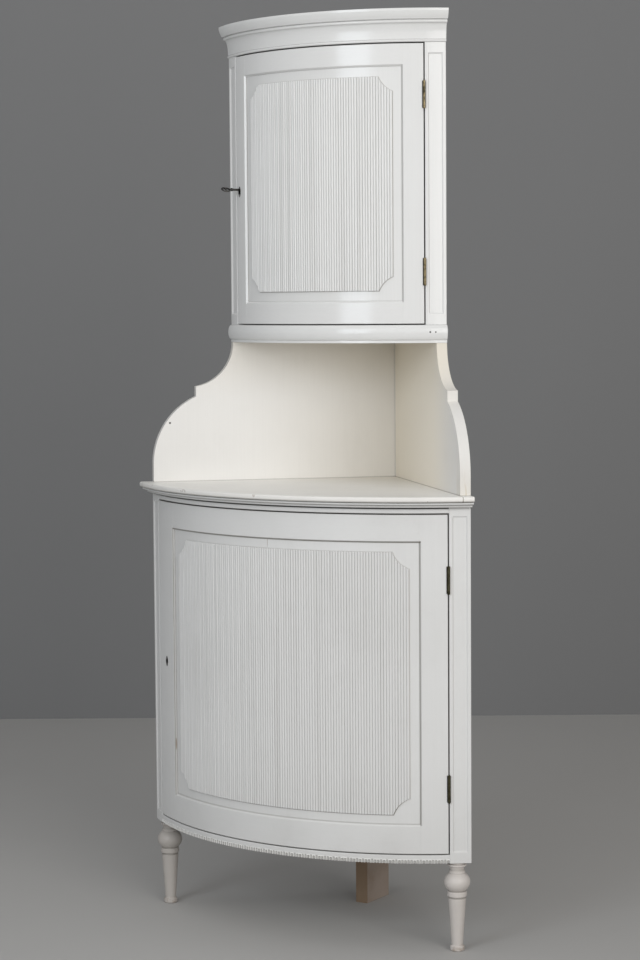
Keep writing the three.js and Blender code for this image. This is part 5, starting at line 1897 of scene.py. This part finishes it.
class MakeKey(bpy.types.Operator):
    """Make the key that stands in the upper lock"""

    bl_idname = "cupboard.key"
    bl_label = "Key"

    def execute(self, context):
        sizes = context.scene.cupboard_sizes
        plan = door_plans(sizes)[1]
        size = KEY
        bm = bmesh.new()
        centre = -size["proud"] + size["bow_length"] / 2
        self.ring(bm, size["bow_width"] / 2, size["bow_length"] / 2, size["rim"] / 2, centre)
        for side in (-1, 1):
            small = size["bow_width"] * KEY_EYE_SHARES["radius"]
            across = side * size["bow_width"] * KEY_EYE_SHARES["across"]
            self.ring(bm, small, small, size["rim"] * KEY_EYE_SHARES["wire"], centre, across)
        bar = size["bow_width"] / 2 - size["rim"]
        rod_bar = bmesh.new()
        rod(rod_bar, size["rim"] * KEY_BAR_SHARE, -bar, bar, KEY_BAR_SIDES)
        across_bow = Matrix.Rotation(math.pi / 2, 4, "Z")
        merge_in(bm, rod_bar, Matrix.Translation((0, centre, 0)) @ across_bow)
        start = -size["proud"] + size["bow_length"] - size["rim"] / 2
        lock_front = sizes.door_thickness + lock_seat(plan, sizes)
        tip = lock_front + size["chamber_back"] - 2 * size["seam"]
        rod(bm, size["shank"], start, tip, KEY_SHANK_SIDES)
        collar = start + size["rim"]
        step = size["collar_length"]
        for wide, low, high in KEY_COLLAR_SHARES:
            rod(bm, size["collar"] * wide, collar + low * step, collar + high * step,
                KEY_SHANK_SIDES)
        bit_front = lock_front + size["chamber_front"] + 2 * size["seam"]
        half = size["bit_thickness"] / 2
        block(bm, (0, bit_front, -half), (size["bit_reach"], tip, half))
        soften(bm, size["edge"], 2)
        place = plan.bow.seat(plan.key_arc, 0.0, key_height(plan))
        tilted = place @ Matrix.Rotation(size["tilt"], 4, "Y")
        bmesh.ops.transform(bm, matrix=tilted, verts=bm.verts)
        finish_piece(bm, "upper_key.fine", "key", "key steel", ["upper_key"])
        return {"FINISHED"}

    def ring(self, bm, half_width, half_length, thick, centre, across=0.0):
        """Oval ring of round wire, lying level."""
        part = bmesh.new()
        upright = Matrix.Translation((half_width - thick, 0, 0)) @ Matrix.Rotation(math.pi / 2, 4, "X")
        made = bmesh.ops.create_circle(part, segments=KEY_WIRE_SIDES, radius=thick,
                                       cap_ends=False, matrix=upright)
        lathe(part, made["verts"] + part.edges[:], KEY_RING_STEPS)
        squeeze = Matrix.Diagonal((1, half_length / half_width, 1, 1))
        merge_in(bm, part, Matrix.Translation((across, centre, 0)) @ squeeze)


BODIES = frame["record"]["behaviour"]["bodies"]
PLAIN_NODES = (
    ("lower level", ("lower_bottom_board", "lower_shelf")),
    ("lower upright", ("lower_side_left", "lower_side_right")),
    ("lower upright", ("lower_batten_left", "lower_batten_right")),
    ("upper level", ("upper_bottom_board", "upper_top_board", "upper_shelf")),
    ("upper upright", ("upper_batten_left", "upper_batten_right")),
    ("old wood", ("back_leg",)),
    ("iron", ("lower_lock_case", "upper_lock_case")),
    ("steel", ("lower_lock_bolt", "upper_lock_bolt")),
)


class DressBoards(bpy.types.Operator):
    """Finish the boards, battens and locks behind the front"""

    bl_idname = "cupboard.boards"
    bl_label = "Boards and locks"

    def execute(self, context):
        sizes = context.scene.cupboard_sizes
        for finish, nodes in PLAIN_NODES:
            for node in nodes:
                dress_node(node, finish, sizes.soft_edge)
        return {"FINISHED"}


def area_light(name, place, aim, size, power, tint):
    """Soft rectangular light that faces a point."""
    data = bpy.data.lights.new(name, "AREA")
    data.shape = "RECTANGLE"
    data.size = size[0]
    data.size_y = size[1]
    data.energy = power
    data.color = tint
    light = bpy.data.objects.new(name, data)
    light.location = place
    light.rotation_euler = (Vector(aim) - Vector(place)).to_track_quat("-Z", "Y").to_euler()
    bpy.context.scene.collection.objects.link(light)


STAGE = {
    "floor_half": 9.0,
    "wall_behind": 2.6,
    "aim": (0.0, -0.1, 1.1),
    "key_place": (5.05, -3.25, 2.7),
    "key_size": (3.6, 3.6),
    "window_place": (-0.25, -4.8, 2.3),
    "window_size": (1.7, 2.5),
    "front_place": (2.3, -5.4, 2.9),
    "front_size": (3.4, 3.4),
    "fill_place": (0.0, -1.5, 4.6),
    "fill_size": (4.0, 4.0),
    "warm": (1.0, 0.985, 0.96),
    "cool": (0.86, 0.93, 1.0),
    "neutral": (1.0, 1.0, 1.0),
    "world": 0.28,
}


SHEET = {
    "noise": (0.8, 3.0),
    "range": (0.3, 0.8),
    "strength": 0.06,
    "shade": (0.3, 0.3, 0.3),
    "roughness": 0.75,
}


class MakeStage(bpy.types.Operator):
    """Make the floor, the backdrop, the lights and the camera"""

    bl_idname = "cupboard.stage"
    bl_label = "Stage"

    def execute(self, context):
        stage = context.scene.cupboard_stage
        size = STAGE
        self.sheet("floor", stage.floor_colour, size["floor_half"], Matrix.Identity(4))
        turn = Matrix.Rotation(stage.yaw, 4, "Z") @ Matrix.Translation((0, size["wall_behind"], 0))
        upright = turn @ Matrix.Rotation(math.pi / 2, 4, "X")
        self.sheet("backdrop", stage.backdrop_colour, size["floor_half"], upright)
        for word, power, tint in (
            ("key", stage.key_power, "warm"),
            ("window", stage.window_power, "cool"),
            ("front", stage.front_power, "neutral"),
            ("fill", stage.fill_power, "neutral"),
        ):
            place = size[f"{word}_place"]
            area_light(f"{word} light", place, size["aim"], size[f"{word}_size"], power, size[tint])
        world = bpy.data.worlds.new("studio")
        world.use_nodes = True
        background = world.node_tree.nodes["Background"]
        background.inputs["Color"].default_value = (*size["neutral"], 1.0)
        background.inputs["Strength"].default_value = size["world"]
        context.scene.world = world
        context.scene.view_settings.view_transform = "Standard"
        data = bpy.data.cameras.new("camera")
        data.lens = stage.lens
        camera = bpy.data.objects.new("camera", data)
        camera.location = stage.camera_place
        spin = Matrix.Rotation(stage.yaw, 4, "Z") @ Matrix.Rotation(math.pi / 2 - stage.dip, 4, "X")
        camera.rotation_euler = (spin @ Matrix.Rotation(stage.roll, 4, "Z")).to_euler()
        context.scene.collection.objects.link(camera)
        context.scene.camera = camera
        return {"FINISHED"}

    def sheet(self, name, tint, half, place):
        """Flat sheet with a faint mottling."""
        bm = bmesh.new()
        bmesh.ops.create_grid(bm, x_segments=1, y_segments=1, size=half, matrix=place)
        piece = loose_object(bm, name)
        bm.free()
        shader = Shader(name)
        mottling = shader.noise(*SHEET["noise"]).step(*SHEET["range"]) * SHEET["strength"]
        tone = shader.mix(mottling, tint, SHEET["shade"])
        shader.surface(Base_Color=tone, Roughness=SHEET["roughness"])
        piece.data.materials.append(shader.material)


STEPS = (
    MakeFinishes,
    MakeStage,
    MakeLegs,
    MakePosts,
    MakeRails,
    MakeCounter,
    MakeMouldings,
    MakeWings,
    DressBoards,
    MakeDoorFrames,
    MakePanels,
    MakeHinges,
    MakeKey,
)


class CupboardPanel(bpy.types.Panel):
    """Lists the steps that make the cupboard"""

    bl_idname = "CUPBOARD_PT_steps"
    bl_label = "Corner Cupboard"
    bl_space_type = "VIEW_3D"
    bl_region_type = "UI"
    bl_category = "Cupboard"

    def draw(self, context):
        for step in STEPS:
            self.layout.operator(step.bl_idname)


GROUPS = (
    ("cupboard_sizes", CupboardSizes),
    ("cupboard_finish", CupboardFinish),
    ("cupboard_stage", StageSettings),
)


def register():
    for name, group in GROUPS:
        bpy.utils.register_class(group)
        setattr(bpy.types.Scene, name, PointerProperty(type=group))
    for step in STEPS:
        bpy.utils.register_class(step)
    bpy.utils.register_class(CupboardPanel)


def unregister():
    bpy.utils.unregister_class(CupboardPanel)
    for step in reversed(STEPS):
        bpy.utils.unregister_class(step)
    for name, group in reversed(GROUPS):
        delattr(bpy.types.Scene, name)
        bpy.utils.unregister_class(group)


def main():
    register()
    for step in STEPS:
        group, name = step.bl_idname.split(".")
        getattr(getattr(bpy.ops, group), name)()
    bpy.context.view_layer.update()


if __name__ == "__main__":
    main()
